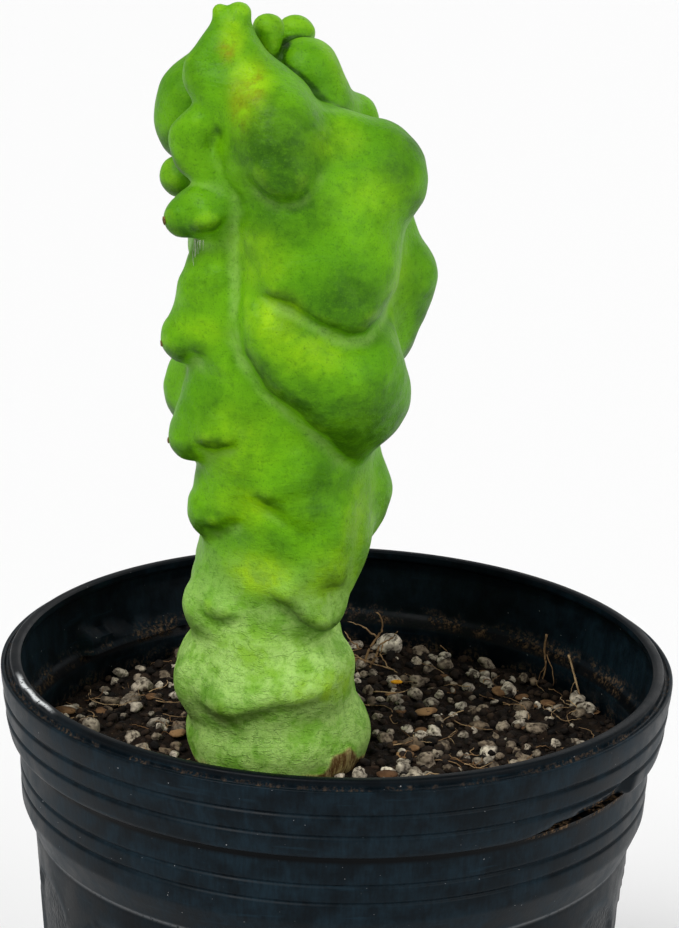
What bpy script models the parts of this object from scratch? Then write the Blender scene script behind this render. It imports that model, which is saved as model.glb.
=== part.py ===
"""A totem pole cactus in its round nursery pot.

The lumpy stem stands in a plain hole in the potting mix, which fills the pot to just under its rim.
Metres, +Z up. The origin is the middle of the pot's flat base. The front is -Y.
"""
import math
import random

import bmesh
import bpy
import numpy as np
import openvdb
from mathutils import Matrix, Vector, noise

MM = 0.001
GAP = 0.3 * MM
MERGE = 0.01 * MM

# Pot
POT_HEIGHT = 165 * MM
POT_BASE_RADIUS = 65.2 * MM
POT_BODY_TOP_RADIUS = 74.3 * MM
POT_BAND_TOP_RADIUS = 82.5 * MM
POT_WALL = 1.6 * MM
POT_FLOOR = 2.4 * MM
POT_SEGMENTS = 60
FINE_RING_DEPTH = 43.4 * MM
GRIP_AZIMUTHS = (45.0, 225.0)
GRIP_HALF_ANGLE = 15.5
GRIP_PRESS = 2.8 * MM
GRIP_FOOT_DEPTH = 18.7 * MM
GRIP_RISE = 6.5 * MM
GRIP_SLOPE = 1.2 * MM
GRIP_ENDS = (0.5, 0.1)
PANEL_COUNT = 14
PANEL_FIRST_AZIMUTH = -68.2
PANEL_HALF_WIDTH = 13.4 * MM
PANEL_TOP_DEPTH = 50 * MM
PANEL_FOOT_DEPTH = 154 * MM
PANEL_RELIEF = 0.6 * MM
DRAIN_COUNT = 8
DRAIN_RADIUS = 5.5 * MM
DRAIN_RING_RADIUS = 50 * MM
DRAIN_SEGMENTS = 12

# Potting mix
SOIL_DEPTH = 27 * MM
SOIL_TOP = POT_HEIGHT - SOIL_DEPTH
SOIL_SEGMENTS = 40
SOIL_RINGS = 8
SOIL_UNEVEN = 1.3 * MM
SOIL_SWELL_SIZE = 24 * MM
SOIL_LUMP_SIZE = 7 * MM
HOLE_RADIUS = 23.0 * MM
HOLE_DEPTH = 13.4 * MM
HOLE_SEGMENTS = 36
GRAIN_COUNT = 66
GRAIN_RADIUS = (2.5 * MM, 4.0 * MM)
GRAIN_ROUGHNESS = 0.15
GRAIN_RISE = 0.3
GRAIN_CLEAR_OF_WALL = 1 * MM
GRAIN_CLEAR_OF_STEM = 3 * MM

# Stem
STEM_BASE = Vector((-13.5 * MM, -1.0 * MM, SOIL_TOP))
STEM_VOXEL = 2.0
STEM_TRIANGLE_SHARE = 0.27
STEM_LOW = np.array((-48.0, -48.0, -16.0))
STEM_HIGH = np.array((48.0, 48.0, 190.0))

# The stem's plain core, in millimetres from its foot on the mix:
# height, centre x, centre y, half-width, half-depth.
CORE = (
    (-13, 0, 0, 15, 15),
    (-7, 0, 0, 18.5, 18.5),
    (0, -0.5, 0, 21.6, 20.5),
    (6, -0.5, 0, 22.8, 21.5),
    (12, -1, 0, 21.6, 20.5),
    (16, -1.8, 0, 20.3, 19.8),
    (22, -3, 0, 20.2, 20.2),
    (31, -4, 0, 18.6, 19.4),
    (37, -4, 0, 17.8, 18.4),
    (45, -2.5, 0, 18, 18.4),
    (55, 0, 0, 20.2, 19.5),
    (68, 0.5, 1, 20.5, 20),
    (80, 0, 1, 21.5, 21),
    (95, 0, 1, 24, 22.5),
    (112, 0.5, 1, 24.5, 22.5),
    (130, 0.5, 1, 24.5, 22),
    (142, -1, 1, 23.5, 21),
    (152, -5, 1, 20, 18),
    (160, -8, 1, 14.5, 14),
    (166, -9, 1, 9, 9),
    (170, -9, 1, 3, 3),
)

# Each lobe leaves the stem high up and hangs: a chain of balls (x, y, z, radius) in millimetres,
# and how widely it flows into what it grows from.
LOBES = {
    "front crest": (6, (-14.6, -9, 178, 3.6), (-14, -10.5, 174.5, 5.4), (-12.6, -11, 168.5, 8.2),
                       (-8, -11, 161, 11), (-5, -11, 152, 13)),
    "hood right edge": (5, (-13.4, -9, 179, 2.4), (-12.2, -11, 175.4, 2.7), (-9.4, -12.5, 172, 3),
                           (-4.8, -13.5, 168.4, 3.2), (0.2, -14, 163.6, 3.4), (4.9, -13.5, 159.4, 3.6),
                           (11.5, -12.5, 156.6, 4.4), (18, -10.5, 154, 5.5)),
    "hood left edge": (4, (-16, -9, 179.5, 2.2), (-17.3, -11, 175.5, 2.8), (-20.4, -12, 171, 3),
                          (-20.6, -13, 168.6, 3), (-17.6, -14, 165, 3.2), (-15.2, -15, 161, 3.2)),
    "tip right": (1, (-13.9, -9, 177, 3.9), (-13.4, -9, 182.4, 2.8)),
    "tip left": (1, (-15.9, -10, 177.5, 3.2), (-17.2, -9.5, 183.2, 1.6)),
    "finger": (0.6, (-7.2, -1, 170, 3.8), (-6.8, -1, 178.9, 3.2)),
    "back bud": (1, (-3, 7, 168, 5), (-0.6, 8.5, 176.6, 4.2)),
    "crown ball": (1, (0, 4, 161, 9), (1.7, 1.5, 168, 8.3)),
    "right back bud": (2, (6, 9, 154, 8), (12, 9, 157, 6.9)),
    "nose": (5, (-7, -13, 166, 7), (-3.9, -18.6, 158.6, 9.2), (-2.6, -21, 153.6, 9.8)),
    "right lobe": (6, (8, -8, 150, 11), (19, -9, 146.6, 12)),
    "left back lobe": (2, (-18, 7, 168, 7.5), (-22.5, 7, 161, 8.8), (-23.6, 7, 155, 9.4)),
    "left bud": (1.6, (-13, -14, 161, 4), (-20, -14.5, 159.2, 3.4), (-23.4, -13.5, 155.4, 3.4),
                      (-22.2, -14, 150.8, 3.2), (-18, -14.5, 146.8, 3.2), (-14, -15, 144, 4)),
    "left hidden bud": (1.2, (-18, -3, 149, 7), (-25.6, -4, 144.8, 5)),
    "left beak": (1.6, (-12, -13, 141.5, 6.6), (-20, -16, 139, 5.8), (-25, -17, 137.4, 3.8)),
    "upper belly": (9, (-2, -9, 145, 14), (6, -10, 130, 17)),
    "dark knob": (9, (6, -15, 140, 12), (13, -18.5, 126.5, 10.2)),
    "diagonal belly": (6, (-5.5, -17.5, 114, 9), (3, -17.5, 109, 12), (12, -15, 102, 14),
                          (16.3, -11, 95.5, 12.2)),
    "right back rib": (4, (20, 8, 132, 9), (24.4, 8, 119.5, 9), (21, 8, 106, 9)),
    "left bump": (5, (-13, -10, 128, 9), (-17.4, -11, 119.5, 8.6)),
    "left knob": (4, (-13, -9, 119, 10), (-19.5, -11, 110.5, 8), (-24.3, -12, 107.3, 4.8)),
    "left lower knob": (4, (-11, -9, 97, 12), (-17.5, -11, 88, 8.8), (-22.2, -12, 84, 4.8)),
    "left pale rib": (4, (-18, 4, 103, 8.6), (-20.8, 4, 92, 8.2), (-16, 4, 78, 7)),
    "lower left knob": (4, (-9, -7, 76, 12), (-15.8, -8, 65.8, 7.8)),
    "right pale lobe": (3, (13, 4, 79, 8), (16.6, 5, 68.5, 7.6), (10.5, 4, 55, 7.4)),
    "front slope": (10, (-8, -11, 97, 9), (-1, -11, 80, 10), (4, -9, 62, 11), (4, -7, 52, 11)),
    "low left knob": (4, (-9, -5, 50, 11), (-16, -6, 40.5, 8.4)),
    "low right knob": (3, (4, -7, 53, 11), (6.6, -10.5, 43.5, 8.6)),
    "foot roll": (5, (-18.6, 3, 21, 7), (-17.4, -6, 20.6, 7.6), (-10.5, -13, 20.2, 6.7),
                     (-1, -14.8, 21.2, 6.2), (7, -12.6, 22.5, 6), (12, -6, 26, 5.5)),
}
CHAIN_BLEND = 5.0
LOBE_MARGIN = 5

# Creases of the front, which overhang what is under them: height, reach and softness of the swelling
# on the left of the line as it runs, then the line's (x, z) points seen from the front.
FOLDS = {
    "belly": (3, 14, 2, (-12.2, 146), (-12.6, 136), (-12.1, 122), (-10.9, 108), (-5.7, 99.5), (1.4, 94),
                        (8, 87.9), (13.9, 80.7), (19.5, 74.9)),
    "dark knob": (3.4, 10, 2.2, (-10, 122.6), (-5.1, 121.4), (0.8, 119.2), (6.8, 115.9), (13, 112.4),
                                (18.3, 112.6), (22.5, 117), (23.4, 123.1)),
    "nose": (2.2, 8, 1.6, (-10.6, 154), (-9.3, 148), (-5.6, 144.3), (-1.5, 143.3), (2.6, 144.4),
                          (5.6, 148.2), (6.9, 152.9)),
    "waist right": (2.8, 9, 1.8, (-4.5, 48.2), (0, 44.6), (5.6, 39.8), (10.4, 37.4), (14.5, 39.5)),
    "waist left": (2.2, 7, 1.8, (-22, 44.5), (-18.5, 40), (-13.8, 38.3), (-9, 41.5)),
    "foot": (2, 8, 2, (-21.9, 19.6), (-17, 16.2), (-11, 15.6), (-6, 17.8), (0, 20), (5, 19.6), (10, 21.2),
                      (15.8, 25)),
    "low knob": (1.6, 6, 1.9, (-20, 63.2), (-15.4, 61.6), (-9.4, 66)),
    "left lower knob": (1.8, 7, 1.9, (-22.5, 84.6), (-16.5, 82.4), (-9.6, 85.3)),
    "left knob": (1.3, 7, 2, (-23.5, 106.5), (-18.1, 102), (-13, 100.5)),
    "beak": (2, 5, 1.5, (-23.4, 135.6), (-20.2, 134.8), (-16.6, 136), (-14.1, 138.8)),
    "pale seam": (2, 7, 1.3, (16, 47.9), (15.9, 56.5), (16.6, 64.1), (18, 72.2)),
    "middle": (1.5, 9, 2.2, (-9, 74), (-5, 70), (0, 66.5), (5, 64.5), (10, 66)),
}
FOLD_ENDS = 0.15
FOLD_GROOVE = 0.22
FOLD_GROOVE_WIDTH = 1.1
FOLD_SOFTENING = 1
FRONT_FADE = (-2, 6)

# The ribs on the hidden side: azimuth from the front, lowest and highest knob, reach of the knobs.
REAR_RIBS = ((128, 44, 150, 21), (165, 26, 158, 21), (205, 34, 150, 21), (243, 24, 140, 19))
# Up the hidden side: the height that a row holds up to, what it adds to the reach, and the stem's lean.
REAR_ROWS = ((18, -3, 0), (48, -3, -4), (58, -3, 0), (135, 1.5, 0), (150, -4, 0), (200, -4, -6))
REAR_BLEND = 4.5
REAR_SPREAD = 8
REAR_RADIUS = (6.5, 9.0)
REAR_DROP = (1.0, 1.6)
REAR_STEP = (17, 27)
REAR_ROOT_SINK = 8
REAR_ROOT_SWELL = 2.5


def clear_scene():
    for obj in list(bpy.data.objects):
        bpy.data.objects.remove(obj, do_unlink=True)


def new_collection(name):
    collection = bpy.data.collections.new(name)
    bpy.context.scene.collection.children.link(collection)
    return collection


def material(name, colour, roughness, metallic=0.0):
    made = bpy.data.materials.new(name)
    made.use_nodes = True
    shader = made.node_tree.nodes["Principled BSDF"]
    shader.inputs["Base Color"].default_value = (*colour, 1)
    shader.inputs["Roughness"].default_value = roughness
    shader.inputs["Metallic"].default_value = metallic
    return made


def object_from_bmesh(bm, name, collection, finish=None):
    mesh = bpy.data.meshes.new(name)
    bm.to_mesh(mesh)
    bm.free()
    obj = bpy.data.objects.new(name, mesh)
    if finish:
        mesh.materials.append(finish)
    collection.objects.link(obj)
    return obj


def shade_round(obj, degrees=40):
    obj.data.shade_smooth()
    obj.data.set_sharp_from_angle(angle=math.radians(degrees))


def azimuth_of(x, y):
    """Degrees from the front, -Y, growing towards +X."""
    return math.degrees(math.atan2(x, -y))


def angle_between(first, second):
    return (first - second + 180) % 360 - 180


def applied(obj):
    """The object with its modifiers made part of its mesh."""
    graph = bpy.context.evaluated_depsgraph_get()
    mesh = bpy.data.meshes.new_from_object(obj.evaluated_get(graph))
    obj.modifiers.clear()
    obj.data = mesh
    return obj


def turned(name, profile, segments, collection, finish=None):
    """A closed profile of (radius, height) points, run down its outer side, turned about Z."""
    bm = bmesh.new()
    points = [bm.verts.new((radius, 0, height)) for radius, height in profile]
    for first, second in zip(points, points[1:]):
        bm.edges.new((first, second))
    obj = object_from_bmesh(bm, name, collection, finish)
    screw = obj.modifiers.new("Turn", "SCREW")
    screw.steps = segments
    screw.render_steps = segments
    screw.use_merge_vertices = True
    screw.merge_threshold = MERGE
    return obj


def body_radius(depth):
    """The outer radius of the tapered body, at a depth under the rim."""
    share = (depth - FINE_RING_DEPTH) / (POT_HEIGHT - FINE_RING_DEPTH)
    return POT_BODY_TOP_RADIUS + (POT_BASE_RADIUS - POT_BODY_TOP_RADIUS) * share


def groove(radius, depth, cut=0.45, half=0.7):
    """Three points of a turned groove, in millimetres."""
    return [(radius, depth - half), (radius - cut, depth), (radius, depth + half)]


def pot_outer():
    """(radius, depth under the rim) down the outside, in millimetres."""
    ring = FINE_RING_DEPTH / MM
    lip = [(77.6, 0.5), (78.2, 0.0), (79.8, 0.0), (80.3, 0.6), (80.4, 2.4), (81.2, 2.4), (81.5, 1.9)]
    band_1 = [(POT_BAND_TOP_RADIUS / MM, 1.8), (82.3, 4.5), *groove(81.8, 8.0), *groove(81.2, 13.2)]
    band_1 += [(80.9, 15.2), (80.3, 18.1)]
    band_2 = [(78.4, 19.2), (78.0, 21.1), *groove(77.9, 26.5), *groove(77.7, 31.0), (77.46, 35.8)]
    waist = [(76.2, 39.0), (74.9, 42.0), (74.3, ring)]
    body = [(body_radius(depth * MM) / MM, depth) for depth in (50, 56, 64, 76, 115, 150, 155, 161)]
    return lip + band_1 + band_2 + waist + body + [(POT_BASE_RADIUS / MM - 1.5, POT_HEIGHT / MM)]


def pot_inner():
    """(radius, depth under the rim) up the inside, in millimetres."""
    wall = POT_WALL / MM
    foot = POT_HEIGHT / MM - POT_FLOOR / MM
    body = [(body_radius(depth * MM) / MM - wall, depth) for depth in (foot, 100, FINE_RING_DEPTH / MM + 1)]
    steps = [(75.9, 36.0), (76.3, 21.5), (78.3, 18.6), (78.9, 17.6), (79.3, 14.4), (79.6, 11.5), (80.2, 6.0), (79.9, 3.2), (77.6, 2.4)]
    return body + steps


def press_grips(mesh):
    """Hollows two wedge-shaped finger grips into the foot of the top band, the wall keeping its thickness."""
    for vertex in mesh.vertices:
        x, y, z = vertex.co
        depth = POT_HEIGHT - z
        for centre in GRIP_AZIMUTHS:
            turn = angle_between(azimuth_of(x, y), centre) / GRIP_HALF_ANGLE
            if abs(turn) >= 1 or depth > GRIP_FOOT_DEPTH:
                continue
            along = (turn + 1) / 2
            top = GRIP_FOOT_DEPTH - GRIP_RISE * along
            ends = min(along / GRIP_ENDS[0], (1 - along) / GRIP_ENDS[1], 1)
            press = GRIP_PRESS * ends * min(max((depth - top) / GRIP_SLOPE, 0), 1)
            scale = 1 - press / math.hypot(x, y)
            vertex.co.x *= scale
            vertex.co.y *= scale


def press_panels(mesh):
    """Sinks a ring of arched panels a little into the outside of the tapered body."""
    for vertex in mesh.vertices:
        x, y, z = vertex.co
        depth = POT_HEIGHT - z
        radius = math.hypot(x, y)
        if not PANEL_TOP_DEPTH < depth < PANEL_FOOT_DEPTH or radius < body_radius(depth) - 0.5 * POT_WALL:
            continue
        for index in range(PANEL_COUNT):
            centre = PANEL_FIRST_AZIMUTH + index * 360 / PANEL_COUNT
            across = abs(math.radians(angle_between(azimuth_of(x, y), centre)) * radius)
            arch = PANEL_HALF_WIDTH - math.sqrt(max(PANEL_HALF_WIDTH ** 2 - across ** 2, 0))
            if across < PANEL_HALF_WIDTH and depth > PANEL_TOP_DEPTH + arch:
                vertex.co.x *= 1 - PANEL_RELIEF / radius
                vertex.co.y *= 1 - PANEL_RELIEF / radius


def make_pot(parts, cutters, finish):
    outer = pot_outer()
    inner = pot_inner()
    profile = [(radius * MM, POT_HEIGHT - depth * MM) for radius, depth in outer]
    profile.append((0, 0))
    profile.append((0, POT_FLOOR))
    profile += [(radius * MM, POT_HEIGHT - depth * MM) for radius, depth in inner]
    profile.append(profile[0])
    pot = applied(turned("pot", profile, POT_SEGMENTS, parts, finish))
    bm = bmesh.new()
    bm.from_mesh(pot.data)
    bmesh.ops.remove_doubles(bm, verts=bm.verts, dist=MERGE)
    bmesh.ops.recalc_face_normals(bm, faces=bm.faces)
    bm.to_mesh(pot.data)
    bm.free()
    press_grips(pot.data)
    press_panels(pot.data)
    bm = bmesh.new()
    for index in range(DRAIN_COUNT):
        turn = Matrix.Rotation(2 * math.pi * index / DRAIN_COUNT, 4, "Z")
        place = turn @ Matrix.Translation((DRAIN_RING_RADIUS, 0, 0))
        bmesh.ops.create_cone(bm, cap_ends=True, segments=DRAIN_SEGMENTS, radius1=DRAIN_RADIUS,
                              radius2=DRAIN_RADIUS, depth=4 * POT_FLOOR, matrix=place)
    drains = object_from_bmesh(bm, "drain_cutter", cutters)
    drains.hide_render = True
    drains.display_type = "WIRE"
    cut = pot.modifiers.new("Drains", "BOOLEAN")
    cut.operation = "DIFFERENCE"
    cut.object = drains
    shade_round(pot)
    return pot


def soil_height(x, y):
    """The height of the mix's top, a little uneven, at a place."""
    swell = noise.noise(Vector((x, y, 0)) / SOIL_SWELL_SIZE)
    lump = noise.noise(Vector((x, y, STEM_BASE.z)) / SOIL_LUMP_SIZE)
    return SOIL_TOP + (swell + 0.5 * lump) * SOIL_UNEVEN


def soil_radius(depth):
    """The outer radius of the mix at a depth under the rim, just clear of the pot's inside."""
    rows = sorted((row_depth * MM, radius * MM) for radius, row_depth in pot_inner())
    return float(np.interp(depth, [row[0] for row in rows], [row[1] for row in rows])) - 2 * GAP


def grain_places():
    """Seeded places for the pumice grains, apart from each other, the stem and the pot."""
    rng = random.Random(5)
    placed = []
    outer = soil_radius(SOIL_DEPTH)
    while len(placed) < GRAIN_COUNT:
        radius = rng.uniform(*GRAIN_RADIUS)
        reach = outer * math.sqrt(rng.random())
        angle = rng.uniform(0, 2 * math.pi)
        x, y = reach * math.cos(angle), reach * math.sin(angle)
        from_stem = math.hypot(x - STEM_BASE.x, y - STEM_BASE.y)
        clear_of_wall = reach + radius < outer - GRAIN_CLEAR_OF_WALL
        clear_of_stem = from_stem - 1.3 * radius > HOLE_RADIUS + GRAIN_CLEAR_OF_STEM
        clear_of_grains = all(math.hypot(x - u, y - v) > 1.1 * (radius + r) for u, v, r in placed)
        if clear_of_wall and clear_of_stem and clear_of_grains:
            placed.append((x, y, radius))
    return placed


def make_soil(parts, cutters, finish):
    """The mix, with its pumice grains sunk in its top and joined to it."""
    depths = [SOIL_DEPTH, FINE_RING_DEPTH - 7 * MM, FINE_RING_DEPTH + 1 * MM, POT_HEIGHT - POT_FLOOR - GAP]
    wall = [(soil_radius(depth), POT_HEIGHT - depth) for depth in depths]
    top = [(wall[0][0] * ring / SOIL_RINGS, SOIL_TOP) for ring in range(SOIL_RINGS)]
    soil = applied(turned("soil", top + wall + [(0, wall[-1][1])], SOIL_SEGMENTS, parts, finish))
    bm = bmesh.new()
    bm.from_mesh(soil.data)
    bmesh.ops.remove_doubles(bm, verts=bm.verts, dist=MERGE)
    bmesh.ops.recalc_face_normals(bm, faces=bm.faces)
    for vertex in bm.verts:
        if abs(vertex.co.z - SOIL_TOP) < GAP:
            vertex.co.z = soil_height(vertex.co.x, vertex.co.y)
    bmesh.ops.triangulate(bm, faces=bm.faces)
    bm.to_mesh(soil.data)
    bm.free()

    hole = bmesh.new()
    place = Matrix.Translation(STEM_BASE + Vector((0, 0, HOLE_DEPTH / 2)))
    bmesh.ops.create_cone(hole, cap_ends=True, segments=HOLE_SEGMENTS, radius1=HOLE_RADIUS,
                          radius2=HOLE_RADIUS, depth=3 * HOLE_DEPTH, matrix=place)
    stem_hole = object_from_bmesh(hole, "stem_hole_cutter", cutters)
    stem_hole.hide_render = True
    stem_hole.display_type = "WIRE"
    cut = soil.modifiers.new("Stem hole", "BOOLEAN")
    cut.operation = "DIFFERENCE"
    cut.object = stem_hole
    applied(soil)

    grains = new_collection("grains")
    rng = random.Random(9)
    for index, (x, y, radius) in enumerate(grain_places()):
        bm = bmesh.new()
        bmesh.ops.create_icosphere(bm, subdivisions=1, radius=radius)
        for vertex in bm.verts:
            vertex.co *= rng.uniform(1 - GRAIN_ROUGHNESS, 1 + GRAIN_ROUGHNESS)
        yaw, roll = rng.uniform(0, 2 * math.pi), rng.uniform(0, 2 * math.pi)
        spin = Matrix.Rotation(yaw, 4, "Z") @ Matrix.Rotation(roll, 4, "X")
        height = soil_height(x, y) + GRAIN_RISE * radius
        bmesh.ops.transform(bm, matrix=Matrix.Translation((x, y, height)) @ spin, verts=bm.verts)
        object_from_bmesh(bm, f"grain_{index}", grains)
    join = soil.modifiers.new("Grains", "BOOLEAN")
    join.operation = "UNION"
    join.operand_type = "COLLECTION"
    join.collection = grains
    applied(soil)
    for grain in list(grains.objects):
        bpy.data.objects.remove(grain, do_unlink=True)
    bpy.data.collections.remove(grains)
    shade_round(soil, 25)
    return soil


def smooth_union(first, second, width):
    """The nearer of two distances, rounded over where they are within a width of each other."""
    overlap = np.maximum(width - np.abs(first - second), 0) / width
    return np.minimum(first, second) - overlap * overlap * width / 4


def smooth_rows(at, rows):
    """Values read from a smooth curve through rows whose first column grows."""
    table = np.array(rows, float)
    keys = table[:, 0]
    at = np.clip(at, keys[0], keys[-1])
    index = np.clip(np.searchsorted(keys, at, side="right") - 1, 0, len(keys) - 2)
    step = keys[index + 1] - keys[index]
    t = (at - keys[index]) / step
    values = []
    for column in table.T[1:]:
        slope = np.gradient(column, keys)
        start = (2 * t ** 3 - 3 * t ** 2 + 1) * column[index]
        start_slope = (t ** 3 - 2 * t ** 2 + t) * step * slope[index]
        end = (3 * t ** 2 - 2 * t ** 3) * column[index + 1]
        end_slope = (t ** 3 - t ** 2) * step * slope[index + 1]
        values.append(start + start_slope + end + end_slope)
    return values


def core_distance(x, y, z):
    """How far outside the plain core each point lies."""
    centre_x, centre_y, half_width, half_depth = smooth_rows(z, CORE)
    share = np.hypot((x - centre_x) / half_width, (y - centre_y) / half_depth)
    side = (share - 1) * np.minimum(half_width, half_depth)
    return np.maximum(side, np.maximum(CORE[0][0] - z, z - CORE[-1][0]))


def chain_distance(x, y, z, balls):
    """How far outside a chain of balls each point lies."""
    found = None
    for (ax, ay, az, start), (bx, by, bz, end) in zip(balls, balls[1:]):
        ux, uy, uz = bx - ax, by - ay, bz - az
        along = ((x - ax) * ux + (y - ay) * uy + (z - az) * uz) / (ux * ux + uy * uy + uz * uz)
        along = np.clip(along, 0, 1)
        off_x, off_y, off_z = x - ax - along * ux, y - ay - along * uy, z - az - along * uz
        link = np.sqrt(off_x ** 2 + off_y ** 2 + off_z ** 2) - start - (end - start) * along
        found = link if found is None else smooth_union(found, link, CHAIN_BLEND)
    return found


def rear_lobes():
    """Knobs down each hidden rib, drawn by a seeded rule: (blend, ball, ball)."""
    rng = np.random.default_rng(11)
    lobes = []
    for azimuth, low, high, rib_reach in REAR_RIBS:
        height = low
        while height < high:
            swell, lean = next(row[1:] for row in REAR_ROWS if height < row[0])
            angle = math.radians(azimuth + rng.uniform(-REAR_SPREAD, REAR_SPREAD))
            radius = rng.uniform(*REAR_RADIUS)
            reach = rib_reach + swell - 0.5 * radius
            drop = radius * rng.uniform(*REAR_DROP)
            u, v = math.sin(angle), -math.cos(angle)
            sunk = reach - REAR_ROOT_SINK
            root = (lean + sunk * u, sunk * v, height + drop, radius + REAR_ROOT_SWELL)
            lobes.append((REAR_BLEND, root, (lean + reach * u, reach * v, height, radius)))
            height += rng.uniform(*REAR_STEP)
    return lobes


def smoothstep(value, low, high):
    t = np.clip((value - low) / (high - low), 0, 1)
    return t * t * (3 - 2 * t)


def fold_rise(x, z, reach, softness, line):
    """A fold's swelling at each point seen from the front, 1 at most, and the groove along its line."""
    line = np.array(line, float)
    lengths = np.linalg.norm(np.diff(line, axis=0), axis=1)
    nearest = np.full(np.broadcast(x, z).shape, np.inf)
    side, share = np.zeros_like(nearest), np.zeros_like(nearest)
    done = 0.0
    for start, end, length in zip(line, line[1:], lengths):
        u, w = (end - start) / length
        along = np.clip((x - start[0]) * u + (z - start[1]) * w, 0, length)
        away = np.hypot(x - start[0] - along * u, z - start[1] - along * w)
        left = u * (z - start[1]) - w * (x - start[0]) > 0
        closer = away < nearest
        side = np.where(closer, np.where(left, away, -away), side)
        share = np.where(closer, (done + along) / lengths.sum(), share)
        nearest = np.minimum(away, nearest)
        done += length
    ends = smoothstep(share, 0, FOLD_ENDS) * smoothstep(1 - share, 0, FOLD_ENDS)
    over = np.maximum(side, 0)
    swelling = (1 - np.exp(-over / softness)) * np.exp(-(over / reach) ** 2)
    return ends * (swelling - FOLD_GROOVE * np.exp(-(side / (FOLD_GROOVE_WIDTH * softness)) ** 2))


def front_relief(x, z):
    """How far the folds lift the front at each point of a grid."""
    relief = 0
    for rise, reach, softness, *line in FOLDS.values():
        relief = relief + rise * fold_rise(x, z, reach, softness, line)
    for _ in range(FOLD_SOFTENING):
        for axis in (0, 1):
            relief = (np.roll(relief, 1, axis) + np.roll(relief, -1, axis) + 2 * relief) / 4
    return relief


def stem_field(voxel):
    """Distances outside the stem on a grid of points, in millimetres."""
    counts = np.ceil((STEM_HIGH - STEM_LOW) / voxel).astype(int) + 1
    axes = [low + voxel * np.arange(count) for low, count in zip(STEM_LOW, counts)]
    x, y, z = np.meshgrid(*axes, indexing="ij")
    field = core_distance(x, y, z)
    for blend, *balls in list(LOBES.values()) + rear_lobes():
        centres = np.array(balls)[:, :3]
        margin = max(ball[3] for ball in balls) + blend + LOBE_MARGIN
        first = np.clip(((centres.min(axis=0) - margin - STEM_LOW) / voxel).astype(int), 0, counts - 1)
        last = np.clip(((centres.max(axis=0) + margin - STEM_LOW) / voxel).astype(int) + 2, 1, counts)
        near = tuple(slice(a, b) for a, b in zip(first, last))
        field[near] = smooth_union(field[near], chain_distance(x[near], y[near], z[near], balls), blend)
    relief = front_relief(axes[0][:, None], axes[2][None, :])
    return field - relief[:, None, :] * smoothstep(-axes[1], *FRONT_FADE)[None, :, None]


def make_stem(parts, finish):
    """The core and its lobes as one skin, with fewer, larger triangles where it is flatter."""
    grid = openvdb.FloatGrid()
    grid.background = 3 * STEM_VOXEL
    grid.copyFromArray(stem_field(STEM_VOXEL))
    points, triangles, quads = grid.convertToPolygons(isovalue=0.0, adaptivity=0.0)
    points = (points * STEM_VOXEL + STEM_LOW) * MM + np.array(STEM_BASE)
    mesh = bpy.data.meshes.new("cactus")
    mesh.from_pydata(points.tolist(), [], quads.tolist() + triangles.tolist())
    mesh.materials.append(finish)
    bm = bmesh.new()
    bm.from_mesh(mesh)
    bmesh.ops.recalc_face_normals(bm, faces=bm.faces)
    bmesh.ops.triangulate(bm, faces=bm.faces)
    bm.to_mesh(mesh)
    bm.free()
    stem = bpy.data.objects.new("cactus", mesh)
    parts.objects.link(stem)
    fewer = stem.modifiers.new("Fewer faces", "DECIMATE")
    fewer.ratio = STEM_TRIANGLE_SHARE
    mesh.shade_smooth()
    return stem


def main():
    clear_scene()
    parts = new_collection("totem_pole_cactus")
    cutters = new_collection("cutters")
    make_pot(parts, cutters, material("black_plastic", (0.02, 0.025, 0.03), 0.5))
    make_soil(parts, cutters, material("potting_mix", (0.06, 0.04, 0.025), 0.95))
    make_stem(parts, material("green_skin", (0.16, 0.42, 0.03), 0.45))


main()
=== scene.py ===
"""Looks of the totem pole cactus in its nursery pot: a lumpy green stem in gritty mix.

Metres, +Z up, the front is -Y. The origin is the middle of the pot's flat base.
"""
import logging
import math
from dataclasses import dataclass, field
from enum import Enum
from typing import Sequence

import bmesh
import bpy
import numpy as np
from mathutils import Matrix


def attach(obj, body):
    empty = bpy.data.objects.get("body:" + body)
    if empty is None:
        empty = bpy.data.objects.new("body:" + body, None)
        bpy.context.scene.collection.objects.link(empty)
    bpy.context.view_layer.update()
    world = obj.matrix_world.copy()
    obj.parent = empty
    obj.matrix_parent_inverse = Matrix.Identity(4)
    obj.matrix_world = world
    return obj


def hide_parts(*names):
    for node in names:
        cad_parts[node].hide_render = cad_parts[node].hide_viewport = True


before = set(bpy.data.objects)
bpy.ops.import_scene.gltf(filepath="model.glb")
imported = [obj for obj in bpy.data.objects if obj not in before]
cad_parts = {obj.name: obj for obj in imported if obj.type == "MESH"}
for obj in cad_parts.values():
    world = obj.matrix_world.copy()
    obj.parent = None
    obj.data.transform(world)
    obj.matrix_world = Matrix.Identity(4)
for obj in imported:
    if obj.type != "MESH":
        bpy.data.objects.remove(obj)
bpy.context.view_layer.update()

import openvdb
from mathutils import Matrix, Vector, noise
from mathutils.bvhtree import BVHTree

LOG = logging.getLogger("totem_pole_cactus")
MM = 0.001
Ball = tuple[float, float, float, float]
Colour = tuple[float, float, float]
Socket = bpy.types.NodeSocket


class Slot(Enum):
    """The record's material slots."""

    SKIN = "stem_skin"
    MIX = "potting_mix"
    PLASTIC = "pot_plastic"


class Node(Enum):
    """The solids that the pieces here stand for."""

    STEM = "cactus"
    SOIL = "soil"
    POT = "pot"


def srgb(red: int, green: int, blue: int) -> Colour:
    """A colour given as screen values from 0 to 255, in the shader's linear values."""
    shares = (red / 255, green / 255, blue / 255)
    return tuple(v / 12.92 if v <= 0.04045 else ((v + 0.055) / 1.055) ** 2.4 for v in shares)


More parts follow.
